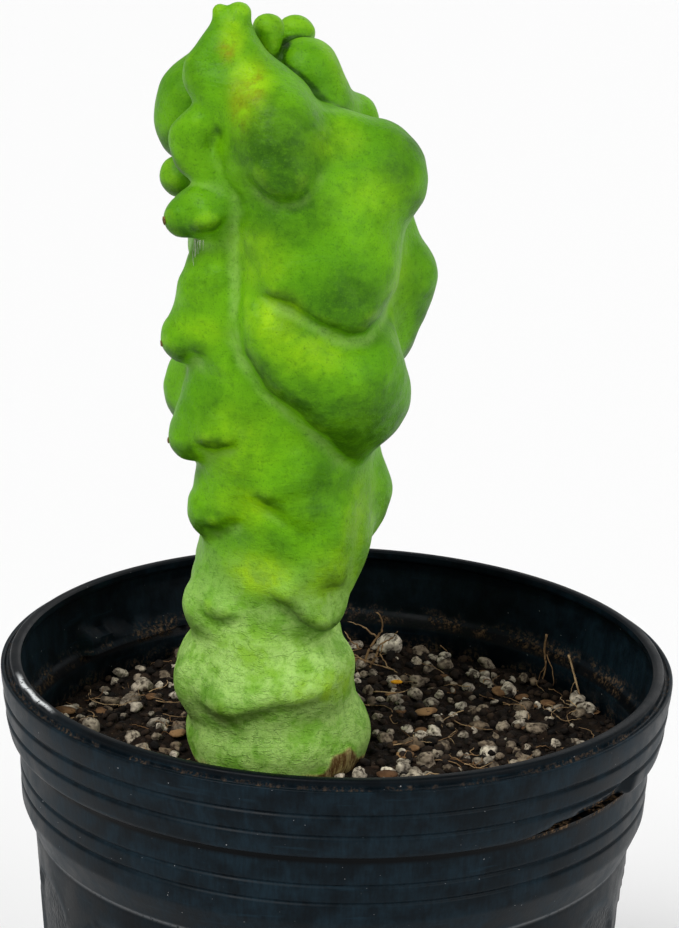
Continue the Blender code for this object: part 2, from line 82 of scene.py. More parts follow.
class Graph:
    """A material's nodes, added one at a time."""

    def __init__(self, name: str) -> None:
        """Starts a material with one Principled shader.

        Args:
            name: The material's name.
        """
        self.material = bpy.data.materials.new(name)
        self.material.use_nodes = True
        self.tree = self.material.node_tree
        self.shader = self.tree.nodes["Principled BSDF"]
        self.places = self.node("ShaderNodeTexCoord").outputs["Object"]

    def node(self, kind: str, **settings: object) -> bpy.types.Node:
        """A new node with its settings."""
        made = self.tree.nodes.new(kind)
        for key, value in settings.items():
            setattr(made, key, value)
        return made

    def feed(self, socket: Socket, value: object) -> None:
        """Links a socket to a value that is another socket, or else sets it."""
        if isinstance(value, bpy.types.NodeSocket):
            self.tree.links.new(value, socket)
        elif isinstance(value, tuple) and len(value) == 3 and socket.type == "RGBA":
            socket.default_value = (*value, 1)
        else:
            socket.default_value = value

    def set(self, **values: object) -> None:
        """Sets the shader's own sockets, whose names have underscores for spaces here."""
        for key, value in values.items():
            self.feed(self.shader.inputs[key.replace("_", " ")], value)

    def attribute(self, name: str) -> Socket:
        """A number stored on the mesh's points."""
        return self.node("ShaderNodeAttribute", attribute_name=name).outputs["Fac"]

    def stretched(self, scale: tuple[float, float, float]) -> Socket:
        """Object places scaled along each axis, for textures that run one way."""
        mapping = self.node("ShaderNodeMapping")
        self.feed(mapping.inputs["Vector"], self.places)
        mapping.inputs["Scale"].default_value = scale
        return mapping.outputs["Vector"]

    def noise(self, size: float, detail: float = 3, roughness: float = 0.55,
              places: Socket | None = None) -> Socket:
        """Cloudy noise.

        Args:
            size: The size of its clouds in metres.
            detail: How many finer layers it has.
            roughness: How strong the finer layers are.
            places: Where it is read, the object's own places if left out.

        Returns:
            The socket that gives it, from 0 to 1.
        """
        made = self.node("ShaderNodeTexNoise")
        self.feed(made.inputs["Vector"], places or self.places)
        made.inputs["Scale"].default_value = 1 / size
        made.inputs["Detail"].default_value = detail
        made.inputs["Roughness"].default_value = roughness
        return made.outputs["Fac"]

    def cells(self, size: float, feature: str = "F1") -> Socket:
        """The distance to the nearest of scattered points a size apart."""
        made = self.node("ShaderNodeTexVoronoi", feature=feature)
        self.feed(made.inputs["Vector"], self.places)
        made.inputs["Scale"].default_value = 1 / size
        return made.outputs["Distance"]

    def band(self, value: Socket, low: float, high: float, start: float = 0, end: float = 1) -> Socket:
        """A value stretched from low..high to start..end, and held at both ends."""
        made = self.node("ShaderNodeMapRange", interpolation_type="SMOOTHSTEP")
        keys = ("Value", "From Min", "From Max", "To Min", "To Max")
        for key, number in zip(keys, (value, low, high, start, end)):
            self.feed(made.inputs[key], number)
        return made.outputs["Result"]

    def add(self, first: object, second: object, operation: str = "ADD") -> Socket:
        """Two numbers added, or put together by another operation."""
        made = self.node("ShaderNodeMath", operation=operation)
        self.feed(made.inputs[0], first)
        self.feed(made.inputs[1], second)
        return made.outputs[0]

    def times(self, first: object, second: object) -> Socket:
        """Two numbers multiplied."""
        return self.add(first, second, "MULTIPLY")

    def mix(self, share: object, first: object, second: object) -> Socket:
        """Two colours mixed by a share."""
        made = self.node("ShaderNodeMix", data_type="RGBA")
        self.feed(made.inputs["Factor"], share)
        self.feed(made.inputs[6], first)
        self.feed(made.inputs[7], second)
        return made.outputs[2]

    def bump(self, height: Socket, depth: float, strength: float = 1.0,
             under: Socket | None = None) -> Socket:
        """A bumped normal, over another one if given."""
        made = self.node("ShaderNodeBump")
        made.inputs["Strength"].default_value = strength
        made.inputs["Distance"].default_value = depth
        self.feed(made.inputs["Height"], height)
        if under:
            self.feed(made.inputs["Normal"], under)
        return made.outputs["Normal"]


@dataclass(frozen=True)
class SkinFinish:
    """The stem's waxy skin: yellow-green ridges that are partly a painted highlight, dark knobs whose
    darkness is partly painted shade, yellower patches that are partly painted light, and pale bloom in the
    creases and low down.
    """

    bright: Colour = srgb(104, 168, 1)
    middle: Colour = srgb(62, 124, 0)
    deep: Colour = srgb(24, 62, 0)
    bloom: Colour = srgb(176, 216, 116)
    crest: Colour = srgb(146, 200, 26)
    yellow: Colour = srgb(160, 206, 4)
    cork: Colour = srgb(166, 150, 96)
    cork_dark: Colour = srgb(96, 70, 36)
    rust: Colour = srgb(150, 112, 10)

    def make(self) -> bpy.types.Material:
        """Builds the material from the stem's own point values."""
        g = Graph("waxy_green_skin")
        broad = g.noise(22 * MM, 2)
        patchy = g.noise(6 * MM, 4, 0.6)
        fine = g.noise(1.6 * MM, 4, 0.65)
        speck = g.noise(0.42 * MM, 2, 0.6)
        colour = g.mix(g.band(broad, 0.36, 0.64, 0.4, 0.9), self.middle, self.bright)
        colour = g.mix(g.band(patchy, 0.42, 0.66, 0, 0.3), colour, self.middle)
        # Yellow: yellower skin, partly painted light where the stem is shown more brightly lit.
        yellow = g.times(g.attribute("yellow"), g.band(patchy, 0.34, 0.6, 1, 0.5))
        colour = g.mix(yellow, colour, self.yellow)
        # Dark: the knobs' darker green together with painted shade under bulges and in the crown's creases.
        dark = g.add(g.attribute("dark"), g.band(patchy, 0.35, 0.65, -0.08, 0.1))
        colour = g.mix(g.band(dark, 0.0, 1.0, 0, 0.9), colour, self.deep)
        rusty = g.times(g.attribute("rust"), g.band(patchy, 0.4, 0.6))
        colour = g.mix(rusty, colour, self.rust)
        wrinkle = g.noise(5 * MM, 4, 0.6, g.stretched((0.6, 0.6, 1.6)))
        vein = g.times(g.band(wrinkle, 0.47, 0.5), g.band(wrinkle, 0.5, 0.53, 1, 0))
        wax = g.times(g.attribute("bloom"), g.band(patchy, 0.34, 0.6, 0.3, 1))
        wax = g.times(wax, g.band(fine, 0.3, 0.65, 0.6, 1))
        colour = g.mix(wax, colour, self.bloom)
        vein = g.times(vein, g.attribute("aged"))
        colour = g.mix(g.times(vein, g.band(fine, 0.45, 0.65, 0, 0.3)), colour, self.middle)
        # Ridges: a paler yellow-green along convex crests, partly the skin's own tone and partly a painted
        # highlight.
        ridge = g.times(g.attribute("crest"), g.band(fine, 0.3, 0.7, 0.6, 1))
        colour = g.mix(ridge, colour, self.crest)
        for grain, paint, *limits in (
            (fine, self.bright, 0.48, 0.75, 0, 0.22), (fine, self.deep, 0.25, 0.48, 0.3, 0),
            (speck, self.bright, 0.56, 0.76, 0, 0.25), (speck, self.deep, 0.24, 0.46, 0.4, 0),
        ):
            colour = g.mix(g.band(grain, *limits), colour, paint)
        woody = g.noise(1.4 * MM, 4, 0.7, g.stretched((1, 1, 0.25)))
        bark = g.mix(g.band(woody, 0.4, 0.62), self.cork_dark, self.cork)
        colour = g.mix(g.attribute("cork"), colour, bark)
        g.set(Base_Color=colour, Subsurface_Weight=0.05, Subsurface_Scale=1.2 * MM)
        g.shader.inputs["Subsurface Radius"].default_value = (0.5, 1.0, 0.1)
        rough = g.add(g.band(fine, 0.3, 0.7, 0.4, 0.52), g.times(g.attribute("bloom"), 0.2))
        g.set(Roughness=g.add(rough, g.times(g.attribute("cork"), 0.3)))
        grain = g.bump(speck, 0.08 * MM, 0.8)
        folds = g.bump(vein, 0.12 * MM, 0.8, g.bump(wrinkle, 0.7 * MM, 0.6, grain))
        skin = g.bump(fine, 0.22 * MM, 0.8, g.bump(patchy, 0.7 * MM, 0.6, folds))
        scars = g.bump(g.times(woody, g.attribute("cork")), 0.9 * MM, 1.0, skin)
        g.set(Normal=scars, Specular_IOR_Level=0.14)
        return g.material


@dataclass(frozen=True)
class PlasticFinish:
    """Black pot plastic, with dust outside and scuffs round its bands, which are partly painted highlights;
    painted shade keeps the gap under the first band black; dry mix lies on its ledges.
    """

    black: Colour = srgb(1, 3, 5)
    dust: Colour = srgb(25, 45, 56)
    dirt: Colour = srgb(128, 102, 74)
    scuff_and_highlight: Colour = srgb(222, 224, 226)

    def make(self) -> bpy.types.Material:
        """Builds the material from the pot's own point values."""
        g = Graph("dusty_black_plastic")
        cloudy = g.noise(8 * MM, 5, 0.62)
        upright = g.noise(0.8 * MM, 4, 0.7, g.stretched((1, 1, 0.15)))
        fine = g.noise(1.1 * MM, 4, 0.7)
        speck = g.noise(0.8 * MM, 1, 0.5)
        streak = g.noise(2.4 * MM, 3, 0.7, g.stretched((0.08, 0.08, 1)))
        veil = g.times(g.band(cloudy, 0.34, 0.68, 0.15, 0.55), g.band(upright, 0.3, 0.7, 0.6, 1.1))
        dust_and_gap_shade = g.times(veil, g.attribute("dust_and_gap_shade"))
        colour = g.mix(dust_and_gap_shade, self.black, self.dust)
        lines = g.times(g.band(streak, 0.62, 0.72, 0, 0.35), g.attribute("dust_and_gap_shade"))
        colour = g.mix(lines, colour, self.dust)
        motes = g.times(g.band(speck, 0.79, 0.83, 0, 0.4), g.attribute("dust_and_gap_shade"))
        colour = g.mix(motes, colour, self.scuff_and_highlight)
        patches = g.times(g.band(cloudy, 0.42, 0.6), g.band(fine, 0.45, 0.62))
        dirt = g.times(g.attribute("dirt"), patches)
        colour = g.mix(dirt, colour, self.dirt)
        # The worn patch on the lip and the line round the waist: white that is partly wear and partly a
        # painted highlight.
        wear_and_highlight = g.times(g.attribute("scuff_and_highlight"), g.band(fine, 0.36, 0.44))
        colour = g.mix(wear_and_highlight, colour, self.scuff_and_highlight)
        g.set(Base_Color=colour, Specular_IOR_Level=0.08)
        rough = g.add(g.band(cloudy, 0.3, 0.7, 0.34, 0.5), g.times(dirt, 0.4))
        g.set(Roughness=rough)
        pebbles = g.times(g.cells(1.0 * MM, "SMOOTH_F1"), g.attribute("pebbled"))
        dented = g.bump(pebbles, 0.2 * MM, 1.0)
        worn = g.bump(fine, 0.05 * MM, 0.7, dented)
        g.set(Normal=g.bump(dirt, 0.5 * MM, 0.8, worn))
        return g.material


@dataclass(frozen=True)
class MixFinish:
    """Dark peat with brown and pale flecks."""

    dark: Colour = srgb(11, 8, 6)
    brown: Colour = srgb(38, 27, 18)
    fleck: Colour = srgb(122, 102, 78)

    def make(self) -> bpy.types.Material:
        """Builds the material."""
        g = Graph("dark_peat")
        clumps = g.noise(5 * MM, 5, 0.7)
        fine = g.noise(1.1 * MM, 4, 0.7)
        colour = g.mix(g.band(clumps, 0.35, 0.7), self.dark, self.brown)
        colour = g.mix(g.band(fine, 0.62, 0.72, 0, 0.7), colour, self.fleck)
        g.set(Base_Color=colour, Roughness=0.95, Specular_IOR_Level=0.15)
        g.set(Normal=g.bump(fine, 0.7 * MM, 1.0, g.bump(clumps, 1.6 * MM, 0.8)))
        return g.material


@dataclass(frozen=True)
class TonedFinish:
    """Small loose pieces whose colour runs between two by each piece's own tone, with darker pits."""

    name: str
    low: Colour
    high: Colour
    pit: Colour
    pit_size: float
    pit_share: float
    roughness: float = 0.9
    relief: float = 0.35 * MM

    def make(self) -> bpy.types.Material:
        """Builds the material."""
        g = Graph(self.name)
        fine = g.noise(self.pit_size, 4, 0.65)
        colour = g.mix(g.attribute("tone"), self.low, self.high)
        pits = g.band(fine, 0.32, 0.32 + 0.3 * self.pit_share, 1, 0)
        colour = g.mix(pits, colour, self.pit)
        colour = g.mix(g.band(g.noise(3 * self.pit_size, 2), 0.42, 0.62, 0, 0.6), colour, self.pit)
        g.set(Base_Color=colour, Roughness=self.roughness, Specular_IOR_Level=0.25)
        g.set(Normal=g.bump(fine, self.relief, 1.0))
        return g.material


@dataclass(frozen=True)
class FloorFinish:
    """The plain pale floor."""

    pale: Colour = (0.86, 0.86, 0.86)

    def make(self) -> bpy.types.Material:
        """Builds the material."""
        g = Graph("pale_floor")
        g.set(Base_Color=self.pale, Roughness=0.9, Specular_IOR_Level=0.1)
        return g.material


PUMICE = TonedFinish("pumice", srgb(124, 106, 84), srgb(228, 216, 194), srgb(40, 29, 20), 1.3 * MM, 0.9)
CRUMB = TonedFinish("peat_crumb", srgb(11, 8, 6), srgb(54, 39, 26), srgb(11, 8, 6), 0.9 * MM, 0.4)
BARK = TonedFinish("bark_chip", srgb(88, 60, 38), srgb(158, 122, 82), srgb(70, 46, 28), 1.1 * MM, 0.3)
ROOT = TonedFinish("dry_root", srgb(120, 84, 50), srgb(196, 166, 124), srgb(90, 60, 36), 0.8 * MM, 0.2)
AREOLE = TonedFinish("brown_felt", srgb(84, 58, 34), srgb(140, 108, 66), srgb(52, 36, 22), 0.3 * MM, 0.4)
HAIR = TonedFinish("pale_hair", srgb(206, 214, 190), srgb(236, 240, 226), srgb(190, 196, 170), 0.5 * MM, 0.1)
LEAF = TonedFinish("yellow_flake", srgb(222, 150, 20), srgb(240, 178, 40), srgb(190, 110, 14), 0.8 * MM, 0.2)


def put(name: str, data: bpy.types.ID) -> bpy.types.Object:
    """A new object of some data, linked to the scene."""
    made = bpy.data.objects.new(name, data)
    bpy.context.scene.collection.objects.link(made)
    return made


def new_piece(name: str, points: np.ndarray, faces: Sequence[Sequence[int]], finish: bpy.types.Material,
              values: dict[str, np.ndarray] | None = None) -> bpy.types.Object:
    """Makes a smooth-shaded piece that rides on the root body.

    Args:
        name: The piece's name.
        points: Its points in metres, one row each.
        faces: Its faces, as rows of point numbers.
        finish: Its material.
        values: Numbers for each point, by name, which the material reads.

    Returns:
        The new object.
    """
    mesh = bpy.data.meshes.new(name)
    mesh.from_pydata(points.tolist(), [], faces)
    mesh.validate()
    mesh.shade_smooth()
    mesh.materials.append(finish)
    for key, numbers in (values or {}).items():
        stored = mesh.attributes.new(key, "FLOAT", "POINT")
        stored.data.foreach_set("value", np.asarray(numbers, np.float32))
    piece = put(name, mesh)
    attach(piece, "root")
    return piece


def face_outwards(piece: bpy.types.Object) -> None:
    """Turns the faces of a closed piece outwards."""
    bm = bmesh.new()
    bm.from_mesh(piece.data)
    bmesh.ops.recalc_face_normals(bm, faces=bm.faces)
    bm.to_mesh(piece.data)
    bm.free()


def unit_ball(detail: int) -> tuple[np.ndarray, list[list[int]]]:
    """The points and faces of a ball of radius 1, divided a number of times."""
    bm = bmesh.new()
    bmesh.ops.create_icosphere(bm, subdivisions=detail, radius=1)
    points = np.array([vertex.co for vertex in bm.verts])
    faces = [[vertex.index for vertex in face.verts] for face in bm.faces]
    bm.free()
    return points, faces


def unit_circle(segments: int) -> np.ndarray:
    """Points round a circle of radius 1, as (x, y) rows."""
    angles = 2 * math.pi * np.arange(segments) / segments
    return np.stack([np.cos(angles), np.sin(angles)], axis=1)


def ring_faces(low: int, high: int, segments: int) -> list[tuple[int, ...]]:
    """The faces between two rings of points, whose first points have the numbers low and high."""
    return [(low + step, high + step, high + (step + 1) % segments, low + (step + 1) % segments)
            for step in range(segments)]


def smoothstep(value: np.ndarray, low: float, high: float) -> np.ndarray:
    """A soft step from 0 at low to 1 at high."""
    t = np.clip((value - low) / (high - low), 0, 1)
    return t * t * (3 - 2 * t)


def smooth_union(first: np.ndarray, second: np.ndarray, width: float) -> np.ndarray:
    """The nearer of two distances, rounded over where they are within a width of each other."""
    overlap = np.maximum(width - np.abs(first - second), 0) / width
    return np.minimum(first, second) - overlap * overlap * width / 4


def waves(points: np.ndarray, size: float, seed: int, count: int = 7) -> np.ndarray:
    """A soft random field from -1 to 1, as a sum of plane waves about one size long.

    Args:
        points: Places, one row each.
        size: The wave length, in the places' unit.
        seed: Which draw.
        count: How many waves are summed.

    Returns:
        One number for each place.
    """
    rng = np.random.default_rng(seed)
    total = np.zeros(len(points))
    for _ in range(count):
        way = rng.normal(size=3)
        way *= 2 * math.pi / (np.linalg.norm(way) * size * rng.uniform(0.7, 1.5))
        total += np.sin(points @ way + rng.uniform(0, 2 * math.pi))
    return total / math.sqrt(count * 2)


@dataclass(frozen=True)
class Lobe:
    """A lobe of the stem: a chain of balls that leaves the stem high up and hangs.

    Lengths are millimetres from the stem's foot on the mix.

    Attributes:
        balls: The chain, as (x, y, z, radius).
        blend: How widely it flows into what it grows from.
    """

    balls: tuple[Ball, ...]
    blend: float

    def distance(self, x: np.ndarray, y: np.ndarray, z: np.ndarray) -> np.ndarray:
        """How far outside the chain each place lies."""
        found = None
        for (ax, ay, az, start), (bx, by, bz, end) in zip(self.balls, self.balls[1:]):
            ux, uy, uz = bx - ax, by - ay, bz - az
            along = ((x - ax) * ux + (y - ay) * uy + (z - az) * uz) / (ux * ux + uy * uy + uz * uz)
            along = np.clip(along, 0, 1)
            off = (x - ax - along * ux) ** 2 + (y - ay - along * uy) ** 2 + (z - az - along * uz) ** 2
            link = np.sqrt(off) - start - (end - start) * along
            found = link if found is None else smooth_union(found, link, Stem.CHAIN_BLEND)
        return found


@dataclass(frozen=True)
class Fold:
    """A crease of the front whose upper side swells out over what is under it.

    Attributes:
        rise: How far the swelling stands out, in millimetres.
        reach: How far it spreads on the left of the line as the line runs.
        softness: How gently it sets in at the line.
        line: The line's (x, z) points as seen from the front.
    """

    rise: float
    reach: float
    softness: float
    line: tuple[tuple[float, float], ...]
    ENDS = 0.15
    GROOVE = 0.22
    GROOVE_WIDTH = 1.1

    def relief(self, x: np.ndarray, z: np.ndarray) -> np.ndarray:
        """How far it lifts the front at each point of a grid."""
        line = np.array(self.line, float)
        lengths = np.linalg.norm(np.diff(line, axis=0), axis=1)
        nearest = np.full(np.broadcast(x, z).shape, np.inf)
        side, share = np.zeros_like(nearest), np.zeros_like(nearest)
        done = 0.0
        for start, end, length in zip(line, line[1:], lengths):
            u, w = (end - start) / length
            along = np.clip((x - start[0]) * u + (z - start[1]) * w, 0, length)
            away = np.hypot(x - start[0] - along * u, z - start[1] - along * w)
            left = u * (z - start[1]) - w * (x - start[0]) > 0
            closer = away < nearest
            side = np.where(closer, np.where(left, away, -away), side)
            share = np.where(closer, (done + along) / lengths.sum(), share)
            nearest = np.minimum(away, nearest)
            done += length
        ends = smoothstep(share, 0, self.ENDS) * smoothstep(1 - share, 0, self.ENDS)
        over = np.maximum(side, 0)
        swelling = (1 - np.exp(-over / self.softness)) * np.exp(-(over / self.reach) ** 2)
        groove = self.GROOVE * np.exp(-(side / (self.GROOVE_WIDTH * self.softness)) ** 2)
        return self.rise * ends * (swelling - groove)


@dataclass
class Stem:
    """The totem pole cactus: a leaning core with hanging lobes and folds, and its skin's values."""

    base: Vector = field(default_factory=lambda: Vector((-13.5 * MM, -1.0 * MM, 138 * MM)))
    voxel: float = 0.71
    low: tuple[float, float, float] = (-46.0, -44.0, -15.0)
    high: tuple[float, float, float] = (46.0, 44.0, 188.0)
    CHAIN_BLEND = 5.0
    REAR_BLEND = 4.5
    CORE = (
        (-13, 0, 0, 15, 15), (-7, 0, 0, 18.5, 18.5), (0, -0.5, 0, 21.6, 20.5), (6, -0.5, 0, 22.8, 21.5),
        (12, -1, 0, 21.6, 20.5), (16, -1.8, 0, 20.3, 19.8), (22, -3, 0, 20.2, 20.2),
        (31, -4, 0, 18.6, 19.4), (37, -4, 0, 17.8, 18.4), (45, -2.5, 0, 18, 18.4), (55, 0, 0, 20.2, 19.5),
        (68, 0.5, 1, 20.5, 20), (80, 0, 1, 21.5, 21), (95, 0, 1, 24, 22.5), (112, 0.5, 1, 24.5, 22.5),
        (130, 0.5, 1, 24.5, 22), (142, -1, 1, 23.5, 21), (152, -5, 1, 20, 18), (160, -8, 1, 14.5, 14),
        (166, -9, 1, 9, 9), (170, -9, 1, 3, 3),
    )
    LOBES = {
        "front crest": Lobe(((-14.6, -9, 178, 3.6), (-14.2, -10.5, 174, 4.8), (-13.4, -11, 168, 7.2),
            (-8, -11, 161, 11), (-5, -11, 152, 13)), 6),
        "hood right edge": Lobe(((-13.6, -9, 178.6, 2.4), (-12.8, -11, 174.6, 2.4),
            (-10.4, -12.5, 170.8, 2.5), (-5.9, -13.5, 166.9, 2.6), (-0.9, -14, 162.4, 2.8),
            (4, -13.5, 158.6, 3.2), (11.2, -12.5, 156.2, 4.2), (18, -10.5, 154, 5.5)), 3.6),
        "hood left edge": Lobe(((-16, -9, 179.5, 2.2), (-17.3, -11, 175.5, 2.8), (-20.4, -12, 171, 3),
            (-20.6, -13, 168.6, 3), (-17.6, -14, 165, 3.2), (-15.2, -15, 161, 3.2)), 4),
        "tip right": Lobe(((-13.9, -9, 177, 3.9), (-13.4, -9, 182.4, 2.8)), 1),
        "tip left": Lobe(((-15.9, -10, 177.5, 3.2), (-17.2, -9.5, 183.2, 1.6)), 1),
        "finger": Lobe(((-7.2, -1, 170, 4.2), (-6.8, -1, 178.6, 3.4)), 0.4),
        "back bud": Lobe(((-3, 7, 168, 5), (-0.6, 8.5, 176.6, 4.2)), 1),
        "crown ball": Lobe(((1, 4, 161.4, 8.4), (1.8, 1.5, 168.2, 8.5)), 0.5),
        "right back bud": Lobe(((6, 11, 152, 7.5), (12.6, 10.5, 156.4, 6.7)), 0.6),
        "nose": Lobe(((-7.4, -13, 164.6, 6.4), (-3.9, -18.6, 158.6, 9.2), (-2.6, -21, 153.6, 9.8)), 5),
        "right lobe": Lobe(((8, -8, 150, 11), (19, -9, 146.6, 12)), 6),
        "left back lobe": Lobe(((-18, 7, 168, 7.5), (-22.5, 7, 161, 8.8), (-23.6, 7, 155, 9.4)), 2),
        "left bud": Lobe(((-13, -14, 161, 4), (-20, -14.5, 159.2, 3.4), (-23.4, -13.5, 155.4, 3.4),
            (-22.2, -14, 150.8, 3.2), (-18, -14.5, 146.8, 3.2), (-14, -15, 144, 4)), 1.6),
        "left hidden bud": Lobe(((-18, -3, 149, 7), (-25.6, -4, 144.8, 5)), 1.2),
        "left beak": Lobe(((-12, -13, 141.5, 6.6), (-20, -16, 139, 5.8), (-25, -17, 137.4, 3.8)), 1.6),
        "upper belly": Lobe(((-2, -9, 145, 14), (6, -10, 130, 17)), 9),
        "dark knob": Lobe(((6, -15, 140, 12), (13, -18.5, 126.5, 10.2)), 9),
        "diagonal belly": Lobe(((-5.5, -17.5, 114, 9), (3, -17.5, 109, 12), (12, -15, 102, 14),
            (16.3, -11, 95.5, 12.2)), 6),
        "right back rib": Lobe(((20, 8, 132, 9), (24.4, 8, 119.5, 9), (21, 8, 106, 9)), 4),
        "left bump": Lobe(((-13, -10, 128, 9), (-17.4, -11, 119.5, 8.6)), 5),
        "left knob": Lobe(((-13, -9, 119, 10), (-19.5, -11, 110.5, 8), (-24.3, -12, 107.3, 4.8)), 4),
        "left lower knob": Lobe(((-11, -9, 97, 12), (-17.5, -11, 88, 8.8), (-22.2, -12, 84, 4.8)), 4),
        "left pale rib": Lobe(((-18, 4, 103, 8.6), (-20.8, 4, 92, 8.2), (-16, 4, 78, 7)), 4),
        "lower left knob": Lobe(((-9, -7, 76, 12), (-15.8, -8, 65.8, 7.8)), 4),
        "right pale lobe": Lobe(((13, 4, 79, 8), (16.6, 5, 68.5, 7.6), (10.5, 4, 55, 7.4)), 3),
        "front slope": Lobe(((-8, -11, 97, 9), (-1, -11, 80, 10), (4, -9, 62, 11), (4, -7, 52, 11)), 10),
        "low left knob": Lobe(((-9, -5, 50, 11), (-16, -6, 40.5, 8.4)), 4),
        "low right knob": Lobe(((4, -7, 53, 11), (6.6, -10.5, 43.5, 8.6)), 3),
        "foot roll": Lobe(((-18.6, 3, 21, 7), (-17.4, -6, 20.6, 7.6), (-10.5, -13, 20.2, 6.7),
            (-1, -14.8, 21.2, 6.2), (7, -12.6, 22.5, 6), (12, -6, 26, 5.5)), 5),
    }
    FOLDS = {
        "belly": Fold(3, 14, 2, ((-12.2, 146), (-12.6, 136), (-12.1, 122), (-10.9, 108), (-5.7, 99.5),
            (1.4, 94), (8, 87.9), (13.9, 80.7), (19.5, 74.9))),
        "dark knob": Fold(3.4, 10, 2.2, ((-10, 122.6), (-5.1, 121.4), (0.8, 119.2), (6.8, 115.9),
            (13, 112.4), (18.3, 112.6), (22.5, 117), (23.4, 123.1))),
        "nose": Fold(2.2, 8, 1.6, ((-10.6, 154), (-9.3, 148), (-5.6, 144.3), (-1.5, 143.3), (2.6, 144.4),
            (5.6, 148.2), (6.9, 152.9))),
        "waist right": Fold(2.8, 9, 1.8, ((-4.5, 48.2), (0, 44.6), (5.6, 39.8), (10.4, 37.4),
            (14.5, 39.5))),
        "waist left": Fold(2.2, 7, 1.8, ((-22, 44.5), (-18.5, 40), (-13.8, 38.3), (-9, 41.5))),
        "foot": Fold(2, 8, 2, ((-21.9, 19.6), (-17, 16.2), (-11, 15.6), (-6, 17.8), (0, 20), (5, 19.6),
            (10, 21.2), (15.8, 25))),
        "low knob": Fold(1.6, 6, 1.9, ((-20, 63.2), (-15.4, 61.6), (-9.4, 66))),
        "left lower knob": Fold(1.8, 7, 1.9, ((-22.5, 84.6), (-16.5, 82.4), (-9.6, 85.3))),
        "left knob": Fold(1.3, 7, 2, ((-23.5, 106.5), (-18.1, 102), (-13, 100.5))),
        "beak": Fold(2, 5, 1.5, ((-23.4, 135.6), (-20.2, 134.8), (-16.6, 136), (-14.1, 138.8))),
        "pale seam": Fold(2, 7, 1.3, ((16, 47.9), (15.9, 56.5), (16.6, 64.1), (18, 72.2))),
        "middle": Fold(1.5, 9, 2.2, ((-9, 74), (-5, 70), (0, 66.5), (5, 64.5), (10, 66))),
    }
    FRONT_FADE = (-2, 6)
    # Soft dark patches seen from the front, as (x, z, half-width, half-height, strength): partly the knobs'
    # own darker green, partly painted shade.
    DARK_TONE_AND_SHADE_PATCHES = (
        (-3, 154, 12, 13, 0.75), (-1, 145, 13, 6, 0.6), (14, 121, 10, 9, 0.6), (8, 118, 13, 7, 0.4),
        (17, 95, 11, 9, 0.65), (8, 99, 12, 8, 0.4), (25, 153, 6, 8, 0.5), (-2, 139, 13, 5, 0.45),
        (-22, 168, 3, 6, 0.3), (-19, 121, 5, 6, 0.35), (7, 72, 9, 9, 0.45), (-16, 64, 5, 6, 0.45),
        (6, 45, 8, 4, 0.4), (-16, 94, 6, 5, 0.3), (-4, 62, 7, 4, 0.3), (14, 60, 6, 10, 0.3),
        (-23, 136, 6, 3, 0.5), (-20, 152, 5, 5, 0.4), (-24, 150, 4, 6, 0.4),
        (24, 138, 7, 6, 0.3), (-4, 182, 4, 5, 0.5),
    )
    # Soft yellow patches seen from the front, as (x, z, half-width, half-height, strength): partly yellower
    # skin, partly painted light.
    YELLOW_TONE_AND_LIGHT_PATCHES = (
        (-5, 53, 8, 5, 1.0), (3, 50, 9, 4, 0.5), (10, 24, 10, 4.5, 0.8), (-6, 32, 15, 6, 0.4),
        (12, 52, 7, 9, 0.5), (-10, 168, 5, 7, 0.8), (-14, 178, 3, 5, 0.6), (-2, 117, 5, 7, 0.9),
        (5, 110, 9, 5, 0.45),
        (-7, 131, 8, 7, 0.35), (-9, 70, 6, 5, 0.5), (-12, 86, 9, 9, 0.3), (20, 146, 7, 5, 0.3),
        (10, 157, 6, 4, 0.35), (-20, 112, 6, 3, 0.3), (28, 120, 5, 12, 0.4), (18, 66, 4, 10, 0.4),
    )
    FOLD_SOFTENING = 4
    CRISP = 0.9
    REAR_RIBS = ((128, 44, 150, 21), (165, 26, 158, 21), (205, 34, 150, 21), (243, 24, 140, 19))
    REAR_ROWS = ((18, -3, 0), (48, -3, -4), (58, -3, 0), (135, 1.5, 0), (150, -4, 0), (200, -4, -6))
    REAR_SPREAD = 8
    REAR_RADIUS = (6.5, 9.0)
    REAR_DROP = (1.0, 1.6)
    REAR_STEP = (17, 27)
    REAR_ROOT_SINK = 8
    REAR_ROOT_SWELL = 2.5
    BEND_GAIN = 4.4
    SWELL_GAIN = 1.2
    YOUNG = (146, 158)
    AGED = (30, 66)
    CORK_SIDE = 52
    BUD_NECK = ((-19, 153, 5, 5, 1),)
    BLUSHES = ((-15, 176, 2.4, 2.8, 0.5), (-9, 169, 2.6, 3.4, 0.5), (-12, 165, 2.4, 6, 0.3))

    def rear_lobes(self) -> list[Lobe]:
        """Knobs down each rib on the hidden side, drawn by a seeded rule."""
        rng = np.random.default_rng(11)
        lobes = []
        for azimuth, low, high, rib_reach in self.REAR_RIBS:
            height = low
            while height < high:
                swell, lean = next(row[1:] for row in self.REAR_ROWS if height < row[0])
                angle = math.radians(azimuth + rng.uniform(-self.REAR_SPREAD, self.REAR_SPREAD))
                radius = rng.uniform(*self.REAR_RADIUS)
                reach = rib_reach + swell - 0.5 * radius
                drop = radius * rng.uniform(*self.REAR_DROP)
                u, v = math.sin(angle), -math.cos(angle)
                inside = reach - self.REAR_ROOT_SINK
                root = (lean + inside * u, inside * v, height + drop, radius + self.REAR_ROOT_SWELL)
                lobes.append(Lobe((root, (lean + reach * u, reach * v, height, radius)), self.REAR_BLEND))
                height += rng.uniform(*self.REAR_STEP)
        return lobes

